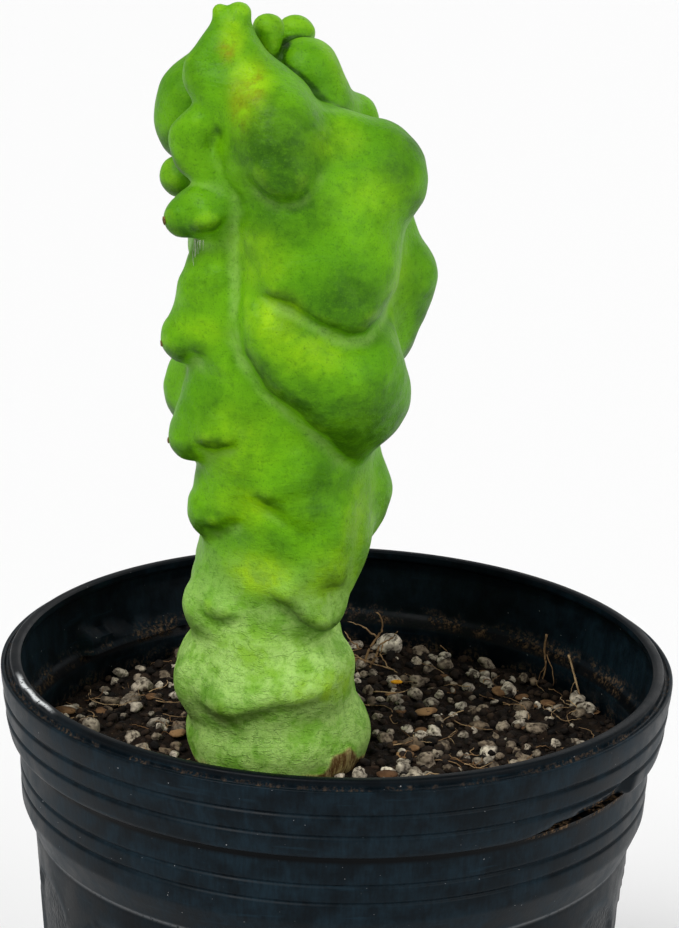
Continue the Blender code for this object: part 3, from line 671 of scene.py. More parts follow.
    def core_distance(self, x: np.ndarray, y: np.ndarray, z: np.ndarray) -> np.ndarray:
        """How far outside the plain core each place lies."""
        table = np.array(self.CORE, float)
        keys = table[:, 0]
        at = np.clip(z, keys[0], keys[-1])
        index = np.clip(np.searchsorted(keys, at, side="right") - 1, 0, len(keys) - 2)
        step = keys[index + 1] - keys[index]
        t = (at - keys[index]) / step
        rows = []
        for column in table.T[1:]:
            slope = np.gradient(column, keys)
            start = (2 * t**3 - 3 * t**2 + 1) * column[index] + (t**3 - 2 * t**2 + t) * step * slope[index]
            end = (3 * t**2 - 2 * t**3) * column[index + 1] + (t**3 - t**2) * step * slope[index + 1]
            rows.append(start + end)
        centre_x, centre_y, half_width, half_depth = rows
        share = np.hypot((x - centre_x) / half_width, (y - centre_y) / half_depth)
        side = (share - 1) * np.minimum(half_width, half_depth)
        return np.maximum(side, np.maximum(keys[0] - z, z - keys[-1]))

    def distances(self) -> np.ndarray:
        """Distances outside the stem on a fine grid, in millimetres."""
        low, high = np.array(self.low), np.array(self.high)
        counts = np.ceil((high - low) / self.voxel).astype(int) + 1
        x, y, z = (low[i] + self.voxel * np.arange(counts[i], dtype=np.float32) for i in range(3))
        heights = z[None, None, :]
        grid = self.core_distance(x[:, None, None], y[None, :, None], heights).astype(np.float32)
        for lobe in [*self.LOBES.values(), *self.rear_lobes()]:
            centres = np.array(lobe.balls)[:, :3]
            margin = max(ball[3] for ball in lobe.balls) + lobe.blend + 5
            first = np.clip(((centres.min(axis=0) - margin - low) / self.voxel).astype(int), 0, counts - 1)
            last = np.clip(((centres.max(axis=0) + margin - low) / self.voxel).astype(int) + 2, 1, counts)
            near = tuple(slice(a, b) for a, b in zip(first, last))
            ball = lobe.distance(x[near[0], None, None], y[None, near[1], None], z[None, None, near[2]])
            grid[near] = smooth_union(grid[near], ball.astype(np.float32), lobe.blend)
        relief = sum(fold.relief(x[:, None], z[None, :]) for fold in self.FOLDS.values())
        relief = self.blurred(relief, self.FOLD_SOFTENING)
        grid -= (relief[:, None, :] * smoothstep(-y, *self.FRONT_FADE)[None, :, None]).astype(np.float32)
        grid = self.blurred(grid, 1)
        return grid + self.CRISP * (grid - self.blurred(grid, 8))

    @staticmethod
    def blurred(grid: np.ndarray, rounds: int) -> np.ndarray:
        """The grid with each value averaged with its neighbours, a number of times."""
        for _ in range(rounds):
            for axis in range(grid.ndim):
                grid = (np.roll(grid, 1, axis) + np.roll(grid, -1, axis) + 2 * grid) / 4
        return grid

    def read(self, grid: np.ndarray, places: np.ndarray) -> np.ndarray:
        """Grid values at places in grid steps, mixed from the eight nearest."""
        whole = np.clip(np.floor(places).astype(int), 0, np.array(grid.shape) - 2)
        part = places - whole
        total = np.zeros(len(places))
        for corner in np.ndindex(2, 2, 2):
            weight = np.prod(np.where(np.array(corner) == 1, part, 1 - part), axis=1)
            i, j, k = (whole + corner).T
            total += weight * grid[i, j, k]
        return total

    @staticmethod
    def patches(table: tuple[tuple[float, ...], ...], x: np.ndarray, z: np.ndarray) -> np.ndarray:
        """The strongest of some soft oval patches at each place as seen from the front."""
        total = np.zeros(len(x))
        for middle, height, across, tall, strength in table:
            share = np.exp(-(((x - middle) / across) ** 2 + ((z - height) / tall) ** 2) ** 1.4)
            total = np.maximum(total, strength * share)
        return total

    def skin_values(self, local: np.ndarray, bend: np.ndarray, swell: np.ndarray,
                    upward: np.ndarray) -> dict[str, np.ndarray]:
        """Numbers that the skin's material reads.

        Args:
            local: The points in millimetres from the stem's foot.
            bend: How far each point's near surroundings bulge out, or in where it is negative.
            swell: The same over a wider stretch.
            upward: How far each point faces up, or down where it is negative.

        Returns:
            Arrays by name, each with a number from 0 to 1 for each point.
        """
        x, y, z = local.T
        crease = smoothstep(-bend, 0.3, 0.85)
        # Crest: convex ridges get a paler tone, partly a painted highlight.
        crest = smoothstep(bend, 0.42, 0.95)
        front = smoothstep(-y, -2, 6)
        # Dark: the patches above, partly darker skin and partly painted shade, weaker and mirrored round the
        # back.
        dark = 0.35 * self.patches(self.DARK_TONE_AND_SHADE_PATCHES, -x, z + 3) * (1 - front)
        dark = dark + self.patches(self.DARK_TONE_AND_SHADE_PATCHES, x, z) * front
        young = smoothstep(z, *self.YOUNG)
        # Painted shade: skin that faces down under a bulge is darkened, from a little above the foot upwards.
        under = smoothstep(-upward, -0.12, 0.5) * smoothstep(swell, -0.12, 0.25)
        dark = np.maximum(dark, 0.7 * under * smoothstep(z, 8, 30))
        # Painted shade: the pinched creases of the crown, and those round the back, are darkened.
        pinched_crease_shade = smoothstep(-swell, 0.08, 0.5) * (1 - self.patches(self.BUD_NECK, x, z))
        dark = np.maximum(dark, 0.9 * np.maximum(young, 0.7 - 0.7 * front) * pinched_crease_shade)
        crease = crease * front * (1 - young)
        foot = 1 - smoothstep(z + 4 * waves(local, 30, 3), *self.AGED)
        hollow = smoothstep(-swell, 0.06, 0.4) * front * (1 - young)
        bloom = np.clip((0.2 * crease + 0.14 * hollow + 0.95 * foot) * (1 - 0.6 * dark), 0, 1)
        azimuth = np.degrees(np.arctan2(x, -y))
        cork_edge = 8.5 + 2.5 * waves(local, 7, 5) - 0.28 * np.abs(azimuth - self.CORK_SIDE)
        collar = 1.6 + 1.2 * waves(local, 6, 8)
        cork = np.maximum(smoothstep(cork_edge - z, -0.6, 0.9), smoothstep(collar - z, -0.6, 0.9))
        # Yellow: the patches above, partly yellower skin and partly painted light, weaker and mirrored round
        # the back.
        yellow = self.patches(self.YELLOW_TONE_AND_LIGHT_PATCHES, x, z) * front
        yellow = yellow + 0.5 * self.patches(self.YELLOW_TONE_AND_LIGHT_PATCHES, -x, z - 4) * (1 - front)
        rust = self.patches(self.BLUSHES, x, z) * front
        return {"bloom": bloom, "crest": 0.42 * crest * (1 - 0.8 * dark), "dark": dark, "cork": cork,
                "yellow": np.clip(yellow, 0, 1), "rust": rust, "aged": foot}

    def build(self, finish: bpy.types.Material) -> bpy.types.Object:
        """Meshes the stem's skin and stores its values."""
        grid = self.distances()
        near = np.abs(grid).ravel() < 3
        local = np.indices(grid.shape).reshape(3, -1).T[near] * self.voxel + np.array(self.low)
        dents = 0.26 * waves(local, 14, 21) + 0.08 * waves(local, 5, 22)
        grid.ravel()[near] += dents.astype(np.float32)
        volume = openvdb.FloatGrid()
        volume.background = 3 * self.voxel
        volume.copyFromArray(grid)
        points, triangles, quads = volume.convertToPolygons(isovalue=0.0, adaptivity=0.0)
        here = self.read(grid, points)
        soft = self.blurred(grid, 3)
        bend = (self.read(soft, points) - here) * self.BEND_GAIN
        soft = self.blurred(soft, 9)
        upward = self.read(np.gradient(soft, self.voxel, axis=2), points)
        swell = (self.read(soft, points) - here) * self.SWELL_GAIN
        local = points * self.voxel + np.array(self.low)
        places = local * MM + np.array(self.base)
        skin = new_piece("cactus_skin", places, quads.tolist() + triangles.tolist(), finish,
                         self.skin_values(local, bend, swell, upward))
        face_outwards(skin)
        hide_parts(Node.STEM.value)
        return skin


@dataclass
class Pot:
    """The round nursery pot: a rolled lip, two grooved bands, finger grips and arched panels."""

    height: float = 165 * MM
    base_radius: float = 65.2 * MM
    waist_radius: float = 74.3 * MM
    waist_depth: float = 43.4 * MM
    wall: float = 1.6 * MM
    floor: float = 2.4 * MM
    segments: int = 300
    grip_azimuths: tuple[float, float] = (45.0, 225.0)
    grip_half_angle: float = 15.5
    grip_press: float = 2.8 * MM
    grip_foot: float = 18.7 * MM
    grip_rise: float = 6.5 * MM
    panel_count: int = 14
    panel_first: float = -68.2
    panel_half_width: float = 13.4 * MM
    panel_top: float = 50 * MM
    panel_foot: float = 154 * MM
    panel_relief: float = 0.6 * MM
    drain_count: int = 8
    drain_radius: float = 5.5 * MM
    drain_ring: float = 50 * MM
    hidden_depth: float = 45
    hidden_share: int = 6
    scuff_and_highlight_azimuth: float = -64
    scuff_and_highlight_half_angle: float = 8.5
    scuff_and_highlight_radius: float = 79.4

    def body_radius(self, depth: np.ndarray | float) -> np.ndarray | float:
        """The outer radius of the tapered body at a depth under the rim."""
        share = (depth - self.waist_depth) / (self.height - self.waist_depth)
        return self.waist_radius + (self.base_radius - self.waist_radius) * share

    @staticmethod
    def groove(radius: float, depth: float) -> list[tuple[float, float]]:
        """Points of a turned groove, in millimetres."""
        return [(radius, depth - 0.8), (radius - 0.15, depth - 0.45), (radius - 0.55, depth),
                (radius - 0.15, depth + 0.45), (radius, depth + 0.8)]

    def outer(self) -> list[tuple[float, float]]:
        """(radius, depth under the rim) down the outside, in millimetres."""
        ring = self.waist_depth / MM
        lip = [(77.6, 0.5), (78.2, 0.0), (79.8, 0.0), (80.3, 0.6), (80.4, 2.4), (81.2, 2.4), (81.5, 1.9)]
        band_1 = [(82.5, 1.8), (82.3, 4.5), *self.groove(81.9, 8.0), *self.groove(81.3, 13.2), (80.4, 18.0)]
        band_2 = [(79.9, 18.7), (78.4, 18.9), (78.2, 19.8), (78.1, 20.6),
                  *self.groove(77.9, 26.5), *self.groove(77.7, 31.0), (77.46, 35.8)]
        waist = [(76.2, 39.0), (74.9, 42.0), (74.5, ring - 0.4), (74.1, ring)]
        body = [(self.body_radius(depth * MM) / MM, depth) for depth in (44.5, 100, 155, 161)]
        return lip + band_1 + band_2 + waist + body + [(self.base_radius / MM - 1.5, self.height / MM)]

    def inner(self) -> list[tuple[float, float]]:
        """(radius, depth under the rim) up the inside, in millimetres."""
        wall = self.wall / MM
        foot = (self.height - self.floor) / MM
        body = [(self.body_radius(depth * MM) / MM - wall, depth) for depth in (foot, 100, 44.4)]
        ledge = [(75.9, 36.0), (76.1, 21.2), (77.4, 18.6), (78.4, 17.4)]
        return body + ledge + [(80.2, 6.0), (79.9, 3.2), (77.6, 2.4)]

    @staticmethod
    def rounded(points: list[tuple[float, float]], longest: float = 1.8) -> np.ndarray:
        """A line with its corners cut twice and its long stretches divided."""
        line = np.array(points, float)
        for _ in range(2):
            near, far = line[:-1], line[1:]
            reach = np.linalg.norm(far - near, axis=1, keepdims=True)
            cut = np.minimum(0.25, 0.35 / np.maximum(reach, 1e-9))
            pairs = np.stack([near + cut * (far - near), far - cut * (far - near)], axis=1)
            line = np.concatenate([line[:1], pairs.reshape(-1, 2), line[-1:]])
        rows = [line[0]]
        for start, end in zip(line, line[1:]):
            parts = max(int(math.ceil(np.linalg.norm(end - start) / longest)), 1)
            rows += [start + (end - start) * (step + 1) / parts for step in range(parts)]
        return np.array(rows)

    def pressed(self, points: np.ndarray) -> np.ndarray:
        """The turned points with the finger grips and the arched panels pressed in."""
        x, y, z = points.T
        radius = np.hypot(x, y)
        depth = self.height - z
        azimuth = np.degrees(np.arctan2(x, -y))
        press = np.zeros(len(points))
        for centre in self.grip_azimuths:
            press += self.grip_press * self.grip_share(centre, azimuth, depth)
        inside, rim = self.panel_share(azimuth, radius, depth)
        return press + self.panel_relief * (inside - 0.35 * rim)

    def grip_share(self, centre: float, azimuth: np.ndarray, depth: np.ndarray) -> np.ndarray:
        """How far inside one wedge-shaped grip each point is, from 0 to 1."""
        along = ((azimuth - centre + 180) % 360 - 180) / self.grip_half_angle / 2 + 0.5
        top = self.grip_foot - self.grip_rise * along
        ends = smoothstep(along, 0, 0.45) * (1 - smoothstep(along, 0.93, 1))
        return ends * smoothstep(depth - top, 0, 1.1 * MM) * (depth < self.grip_foot + 0.2 * MM)

    def panel_share(self, azimuth: np.ndarray, radius: np.ndarray,
                    depth: np.ndarray) -> tuple[np.ndarray, np.ndarray]:
        """How far inside an arched panel each point of the outside is, and how near its rim, from 0 to 1."""
        pitch = 360 / self.panel_count
        turn = (azimuth - self.panel_first + pitch / 2) % pitch - pitch / 2
        across = np.abs(np.radians(turn)) * radius
        arch = self.panel_half_width - np.sqrt(np.maximum(self.panel_half_width ** 2 - across ** 2, 0))
        edge = np.minimum(self.panel_half_width - across, depth - self.panel_top - arch)
        edge = np.minimum(edge, self.panel_foot - depth)
        outside = radius > self.body_radius(depth) - 0.5 * self.wall
        outside = outside * (depth > self.waist_depth)
        return smoothstep(edge, 0, 1.5 * MM) * outside, np.exp(-(edge / (1.2 * MM) + 0.3) ** 2) * outside

    def values(self, points: np.ndarray, outside: np.ndarray) -> dict[str, np.ndarray]:
        """Numbers from 0 to 1 that the plastic's material reads.

        Args:
            points: The pot's points in metres.
            outside: 1 for the points of its outside and 0 for those of its inside.

        Returns:
            Arrays by name.
        """
        x, y, z = points.T
        radius = np.hypot(x, y)
        depth = (self.height - z) / MM
        azimuth = np.degrees(np.arctan2(x, -y))
        lip = smoothstep(-depth, -1.6, -0.6)
        panels, rims = self.panel_share(azimuth, radius, depth * MM)
        near_mix = smoothstep(depth, 22, 27)
        dust_and_gap_shade = outside * (1 - 0.75 * lip) * np.where(depth > self.waist_depth / MM, 0.55, 1.0) + rims
        dust_and_gap_shade += (1 - outside) * (0.4 + 0.6 * smoothstep(-np.abs(azimuth), -160, -120)) * (1 - 0.5 * near_mix)
        # Painted shade: no dust in the gap under the first band, so it stays black.
        dust_and_gap_shade *= 1 - smoothstep(depth, 18.3, 18.8) * smoothstep(-depth, -21.2, -20.4)
        ledge = smoothstep(depth, 16.0, 17.8) * smoothstep(-depth, -21, -19)
        debris = sum(self.grip_share(centre, azimuth, (depth - 1.2) * MM) for centre in self.grip_azimuths)
        channel = (radius / MM > 80.1) * (radius / MM < 81.6) * (depth > 1.6) * (depth < 3)
        dirt = np.where(outside > 0, 0.9 * debris + 0.35 * channel, 0.55 * ledge + 0.3 * near_mix)
        # The worn patch on the lip's edge: partly real wear, partly a painted highlight.
        worn = np.exp(-((azimuth - self.scuff_and_highlight_azimuth) / self.scuff_and_highlight_half_angle) ** 8)
        worn *= smoothstep(-depth, -0.9, -0.4)
        worn *= np.exp(-((radius / MM - self.scuff_and_highlight_radius - 0.15 * np.sin(azimuth * 0.9)) / 0.5) ** 4)
        # Painted highlight: a thin pale line along the waist ring.
        ring_highlight = 0.12 * np.exp(-((depth - self.waist_depth / MM) / 0.4) ** 2)
        return {"dust_and_gap_shade": np.clip(dust_and_gap_shade, 0, 1), "dirt": np.clip(dirt, 0, 1),
                "scuff_and_highlight": np.clip(worn + ring_highlight, 0, 1) * outside, "pebbled": outside * panels}

    def build(self, finish: bpy.types.Material) -> bpy.types.Object:
        """Turns the wall's section round, presses its grips and panels, and cuts the drain holes."""
        top = self.height / MM
        outer = self.rounded(self.outer())
        inner = self.rounded(self.inner() + [self.outer()[0]])
        inner = inner[(inner[:, 1] < self.hidden_depth) | (np.arange(len(inner)) % self.hidden_share == 0)]
        base = [(radius, top) for radius in (60, 48, 34, 20, 8)]
        floor = [(radius, top - self.floor / MM) for radius in (8, 20, 34, 48, 60)]
        rows = np.concatenate([outer, base, floor, inner[:-1]]) * MM
        ring = unit_circle(self.segments)
        points = np.concatenate([np.column_stack([ring * radius, np.full(self.segments, self.height - depth)])
                                 for radius, depth in rows])
        press = self.pressed(points)
        points[:, :2] *= (1 - press / np.hypot(points[:, 0], points[:, 1]))[:, None]
        faces = []
        split = len(outer) + len(base) - 1
        for row in range(len(rows)):
            if row != split:
                faces += ring_faces(row * self.segments, (row + 1) % len(rows) * self.segments, self.segments)
        under, over = split * self.segments, (split + 1) * self.segments
        faces.append([under + step for step in reversed(range(self.segments))])
        faces.append([over + step for step in range(self.segments)])
        outside = np.repeat(np.arange(len(rows)) < len(outer) + len(base), self.segments).astype(float)
        pot = new_piece("pot_shell", points, faces, finish, self.values(points, outside))
        face_outwards(pot)
        self.drain(pot)
        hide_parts(Node.POT.value)
        return pot

    def drain(self, pot: bpy.types.Object) -> None:
        """Cuts the ring of drain holes through the floor."""
        bm = bmesh.new()
        for index in range(self.drain_count):
            turn = Matrix.Rotation(2 * math.pi * index / self.drain_count, 4, "Z")
            bmesh.ops.create_cone(bm, cap_ends=True, segments=40, radius1=self.drain_radius,
                                  radius2=self.drain_radius, depth=4 * self.floor,
                                  matrix=turn @ Matrix.Translation((self.drain_ring, 0, 0)))
        mesh = bpy.data.meshes.new("drain_cutter")
        bm.to_mesh(mesh)
        bm.free()
        cutter = put("drain_cutter", mesh)
        cut = pot.modifiers.new("Drains", "BOOLEAN")
        cut.object = cutter
        graph = bpy.context.evaluated_depsgraph_get()
        whole = bpy.data.meshes.new_from_object(pot.evaluated_get(graph))
        pot.modifiers.clear()
        pot.data = whole
        bpy.data.objects.remove(cutter, do_unlink=True)
        pot.data.shade_smooth()
        pot.data.set_sharp_from_angle(angle=math.radians(50))


@dataclass
class Bed:
    """The potting mix's body: a crumbly top in the pot, sunk a little under the rim."""

    stem: Stem
    pot: Pot
    top: float = 138 * MM
    uneven: float = 1.3 * MM
    swell_size: float = 24 * MM
    lump_size: float = 7 * MM
    radius: float = 75.5 * MM
    gap: float = 0.3 * MM
    rings: int = 120
    segments: int = 380
    CRUMBLES = ((0.55, 5.5, 41, 16), (0.38, 2.6, 42, 18), (0.2, 1.3, 43, 18))

    def height(self, x: float, y: float) -> float:
        """The plain top's height at a place."""
        swell = noise.noise(Vector((x, y, 0)) / self.swell_size)
        lump = noise.noise(Vector((x, y, self.top)) / self.lump_size)
        return self.top + (swell + 0.5 * lump) * self.uneven

    def crumbled(self, places: np.ndarray) -> np.ndarray:
        """The top's heights with its crumbs, which settle lower against the stem."""
        plain = np.array([self.height(x, y) for x, y in places])
        flat = np.column_stack([places, np.zeros(len(places))]) / MM
        crumbs = sum(rise * waves(flat, size, seed, count) for rise, size, seed, count in self.CRUMBLES)
        return plain + np.clip(crumbs, -1.5, 1.6) * MM

    def build(self, finish: bpy.types.Material) -> bpy.types.Object:
        """Meshes the top and closes it down the pot's inside."""
        shares = np.arange(1, self.rings + 1) / self.rings
        ring = unit_circle(self.segments)
        top = np.concatenate([ring * self.radius * share for share in shares])
        top = np.column_stack([top, self.crumbled(top)])
        wall = [(self.radius, 31 * MM), (75.2 * MM, 36 * MM), (72.3 * MM, 44.6 * MM), (63.2 * MM, 162.3 * MM)]
        rows = [np.column_stack([ring * radius, np.full(self.segments, self.pot.height - depth)])
                for radius, depth in wall]
        middle = [(0, 0, self.height(0, 0))]
        points = np.concatenate([middle, top, *rows, [(0, 0, self.pot.floor + self.gap)]])
        count = self.rings + len(wall)
        faces = [(0, 1 + step, 1 + (step + 1) % self.segments) for step in range(self.segments)]
        for row in range(count - 1):
            faces += ring_faces(1 + row * self.segments, 1 + (row + 1) * self.segments, self.segments)
        last, foot = 1 + (count - 1) * self.segments, len(points) - 1
        faces += [(foot, last + (step + 1) % self.segments, last + step) for step in range(self.segments)]
        bed = new_piece("mix_bed", points, faces, finish)
        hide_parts(Node.SOIL.value)
        return bed


def tube(path: np.ndarray, radii: np.ndarray, sides: int = 5) -> tuple[np.ndarray, list[tuple[int, ...]]]:
    """A closed round tube along a path.

    Args:
        path: Its middle line, one row each.
        radii: Its radius at each point.
        sides: How many sides it has.

    Returns:
        Its points and faces.
    """
    way = np.gradient(path, axis=0)
    way /= np.maximum(np.linalg.norm(way, axis=1, keepdims=True), 1e-12)
    helper = np.where(np.abs(way[:, 2:3]) > 0.9, (1.0, 0, 0), (0, 0, 1.0))
    first = np.cross(way, helper)
    first /= np.linalg.norm(first, axis=1, keepdims=True)
    second = np.cross(way, first)
    angles = 2 * math.pi * np.arange(sides) / sides
    rings = [path + (first * math.cos(a) + second * math.sin(a)) * radii[:, None] for a in angles]
    points = np.stack(rings, axis=1).reshape(-1, 3)
    faces = []
    for row in range(len(path) - 1):
        faces += [(face[0], *face[:0:-1]) for face in ring_faces(row * sides, (row + 1) * sides, sides)]
    faces.append(tuple(reversed(range(sides))))
    faces.append(tuple((len(path) - 1) * sides + s for s in range(sides)))
    return points, faces


@dataclass
class Bundle:
    """Many small pieces of one kind, joined as one mesh in which each keeps its own tone."""

    name: str
    points: list[np.ndarray] = field(default_factory=list)
    faces: list[list[int]] = field(default_factory=list)
    tones: list[float] = field(default_factory=list)

    def add(self, points: np.ndarray, faces: Sequence[Sequence[int]], tone: float) -> None:
        """Adds one piece, whose tone runs from 0 to 1."""
        start = len(self.tones)
        self.points.append(points)
        self.faces += [[start + corner for corner in face] for face in faces]
        self.tones += [tone] * len(points)

    def add_thread(self, knots: Sequence[Sequence[float]], thick: float, tone: float, seed: int,
                   wobble: float = 0.5, steps: int = 5, sides: int = 5) -> None:
        """Adds one thin tube through knots in metres.

        Args:
            knots: Points that it passes through.
            thick: Its radius in metres at its root; its tip is a third of that.
            tone: Its colour, from 0 to 1.
            seed: Which wobble.
            wobble: How far it wanders, in millimetres.
            steps: How many points are put on each stretch.
            sides: How many sides the tube has.
        """
        line = np.array(knots, float)
        at = np.linspace(0, len(line) - 1, steps * (len(line) - 1) + 1)
        path = np.stack([np.interp(at, range(len(line)), line[:, i]) for i in range(3)], axis=1)
        for _ in range(2):
            path[1:-1] = (path[:-2] + 2 * path[1:-1] + path[2:]) / 4
        rng = np.random.default_rng(seed)
        jitter = np.cumsum(rng.normal(size=path.shape), axis=0) * wobble * MM / math.sqrt(len(path))
        path += jitter - jitter[:1]
        radii = thick * np.linspace(1, 0.35, len(path)) * rng.uniform(0.85, 1.15, len(path))
        self.add(*tube(path, radii, sides), tone)

    def build(self, finish: bpy.types.Material, slot: Slot = Slot.MIX) -> bpy.types.Object:
        """Joins the pieces as one."""
        LOG.info("%s: %d pieces", self.name, len(self.points))
        return new_piece(self.name, np.concatenate(self.points), self.faces, finish,
                         {"tone": np.array(self.tones)})


@dataclass(frozen=True)
class Scatter:
    """A rule for strewing small pieces over the bed.

    Attributes:
        name: The joined piece's name.
        count: How many there are.
        radii: The smallest and the largest radius, in millimetres.
        detail: How often the starting ball is divided.
        rough: How far its shape departs from a ball.
        squash: How flat it lies, 1 for not at all.
        raise_share: The lowest and highest share of its radius that its middle lies above the bed.
        apart: The least distance between two, as a share of their radii.
        seed: Which draw.
    """

    name: str
    count: int
    radii: tuple[float, float]
    detail: int
    rough: float
    squash: float
    raise_share: tuple[float, float]
    apart: float
    seed: int


GRAINS = Scatter("pumice_grains", 430, (1.0, 2.7), 3, 0.4, 0.85, (0.0, 0.7), 0.85, 51)
CHIPS = Scatter("bark_chips", 70, (1.2, 3.0), 2, 0.18, 0.35, (0.5, 1.4), 0.35, 52)
CRUMBS = Scatter("peat_crumbs", 2400, (0.35, 1.4), 2, 0.35, 0.85, (0.1, 0.9), 0.0, 53)


@dataclass
class Strewn:
    """Pumice grains, peat crumbs and bark chips over the bed."""

    bed: Bed
    clear_of_stem: float = 21.6
    most_tries: int = 60
    taken: list[tuple[float, float, float]] = field(default_factory=list)

    def place(self, rng: np.random.Generator, radius: float, apart: float) -> tuple[float, float] | None:
        """A free place for a piece, or nothing where the draw falls on another."""
        reach = (self.bed.radius / MM - 0.7 * radius) * math.sqrt(rng.random())
        angle = rng.uniform(0, 2 * math.pi)
        x, y = reach * math.cos(angle), reach * math.sin(angle)
        foot = self.bed.stem.base / MM
        if math.hypot(x - foot.x, (y - foot.y) * 1.03) < self.clear_of_stem + 0.8 * radius:
            return None
        if any(math.hypot(x - u, y - v) < apart * (radius + r) for u, v, r in self.taken):
            return None
        return x, y

    def build(self, rule: Scatter, finish: bpy.types.Material) -> bpy.types.Object:
        """Strews one kind of piece as one joined mesh.

        Args:
            rule: Its rule.
            finish: Its material, which reads each piece's own tone.

        Returns:
            The joined piece.
        """
        rng = np.random.default_rng(rule.seed)
        ball, faces = unit_ball(rule.detail)
        bundle = Bundle(rule.name)
        tries = 0
        while len(bundle.points) < rule.count and tries < self.most_tries * rule.count:
            tries += 1
            radius = rule.radii[0] + (rule.radii[1] - rule.radii[0]) * rng.random() ** 1.6
            spot = self.place(rng, radius, rule.apart)
            if spot is None:
                continue
            if rule.apart > 0.3:
                self.taken.append((*spot, radius))
            seed = int(rng.integers(1 << 30))
            lumps = 1 + rule.rough * (waves(ball, 2.2, seed, 5) + 0.45 * waves(ball, 0.9, seed + 1, 6))
            shape = ball * lumps[:, None] * rng.uniform((0.8, 0.8, 0.7), (1.2, 1.1, 1.0))
            turn = np.array(Matrix.Rotation(rng.uniform(0, 6.28), 3, Vector(rng.normal(size=3))))
            shape = shape @ turn.T * np.array((1, 1, rule.squash)) * radius * MM
            x, y = spot[0] * MM, spot[1] * MM
            lift = rng.uniform(*rule.raise_share) * radius * MM * rule.squash
            bundle.add(shape + (x, y, self.bed.height(x, y) + lift), faces, rng.random())
        return bundle.build(finish)


@dataclass
class Growths:
    """What grows on the skin: a pad of brown felt on each rib tip, and a few pale hairs on the left."""

    skin: bpy.types.Object
    stem: Stem
    tips: tuple[tuple[float, float, float], ...] = ((-30, -14, 107), (-28.5, -13, 83.4), (-29.5, -19, 137))
    pad: tuple[float, float] = (0.5, 0.8)
    hair_root: tuple[float, float] = (-21.5, 132)
    hair_lengths: tuple[float, float] = (2.2, 4.6)

    def surface(self, tip: Sequence[float], heading: Vector) -> tuple[Vector, Vector] | None:
        """Where a line towards the stem first meets the skin, and the skin's normal there."""
        tree = BVHTree.FromObject(self.skin, bpy.context.evaluated_depsgraph_get())
        start = Vector(tip) * MM + self.stem.base - heading * 30 * MM
        place, normal = tree.ray_cast(start, heading)[:2]
        return (place, normal) if place else None

    def areoles(self, finish: bpy.types.Material) -> bpy.types.Object:
        """Sets a felt pad where each tip meets the air."""
        rng = np.random.default_rng(91)
        ball, faces = unit_ball(2)
        tips = list(self.tips) + [lobe.balls[-1][:3] for lobe in self.stem.rear_lobes()]
        bundle = Bundle("areoles")
        for tip in tips:
            found = self.surface(tip, Vector((-tip[0], -tip[1], 0)).normalized())
            if found is None:
                continue
            turn = np.array(found[1].to_track_quat("Z", "Y").to_matrix())
            size = rng.uniform(*self.pad) * MM
            lumps = 1 + 0.3 * waves(ball, 0.8, int(rng.integers(1 << 30)), 5)
            shape = ball * lumps[:, None] * (1, 1.3, 0.55)
            bundle.add(shape @ turn.T * size + np.array(found[0]), faces, rng.random())
        return bundle.build(finish, Slot.SKIN)

    def hairs(self, finish: bpy.types.Material, count: int = 14) -> bpy.types.Object:
        """Lays short pale hairs down the bump on the left."""
        rng = np.random.default_rng(92)
        threads = Bundle("pale_hairs")
        while len(threads.points) < count:
            x = self.hair_root[0] + rng.normal() * 1.1
            z = self.hair_root[1] + rng.normal() * 1.2
            lean, length = rng.uniform(-0.4, 0.7), rng.uniform(*self.hair_lengths)
            knots = []
            for share in (0, 0.5, 1):
                found = self.surface((x + lean * share, -30, z - length * share), Vector((0, 1, 0)))
                if found:
                    knots.append(found[0] + found[1] * (0.06 + 0.3 * share) * MM)
            if len(knots) == 3:
                threads.add_thread(knots, 0.07 * MM, rng.random(), int(rng.integers(1 << 30)), 0.12, 3, 4)
        return threads.build(finish, Slot.SKIN)


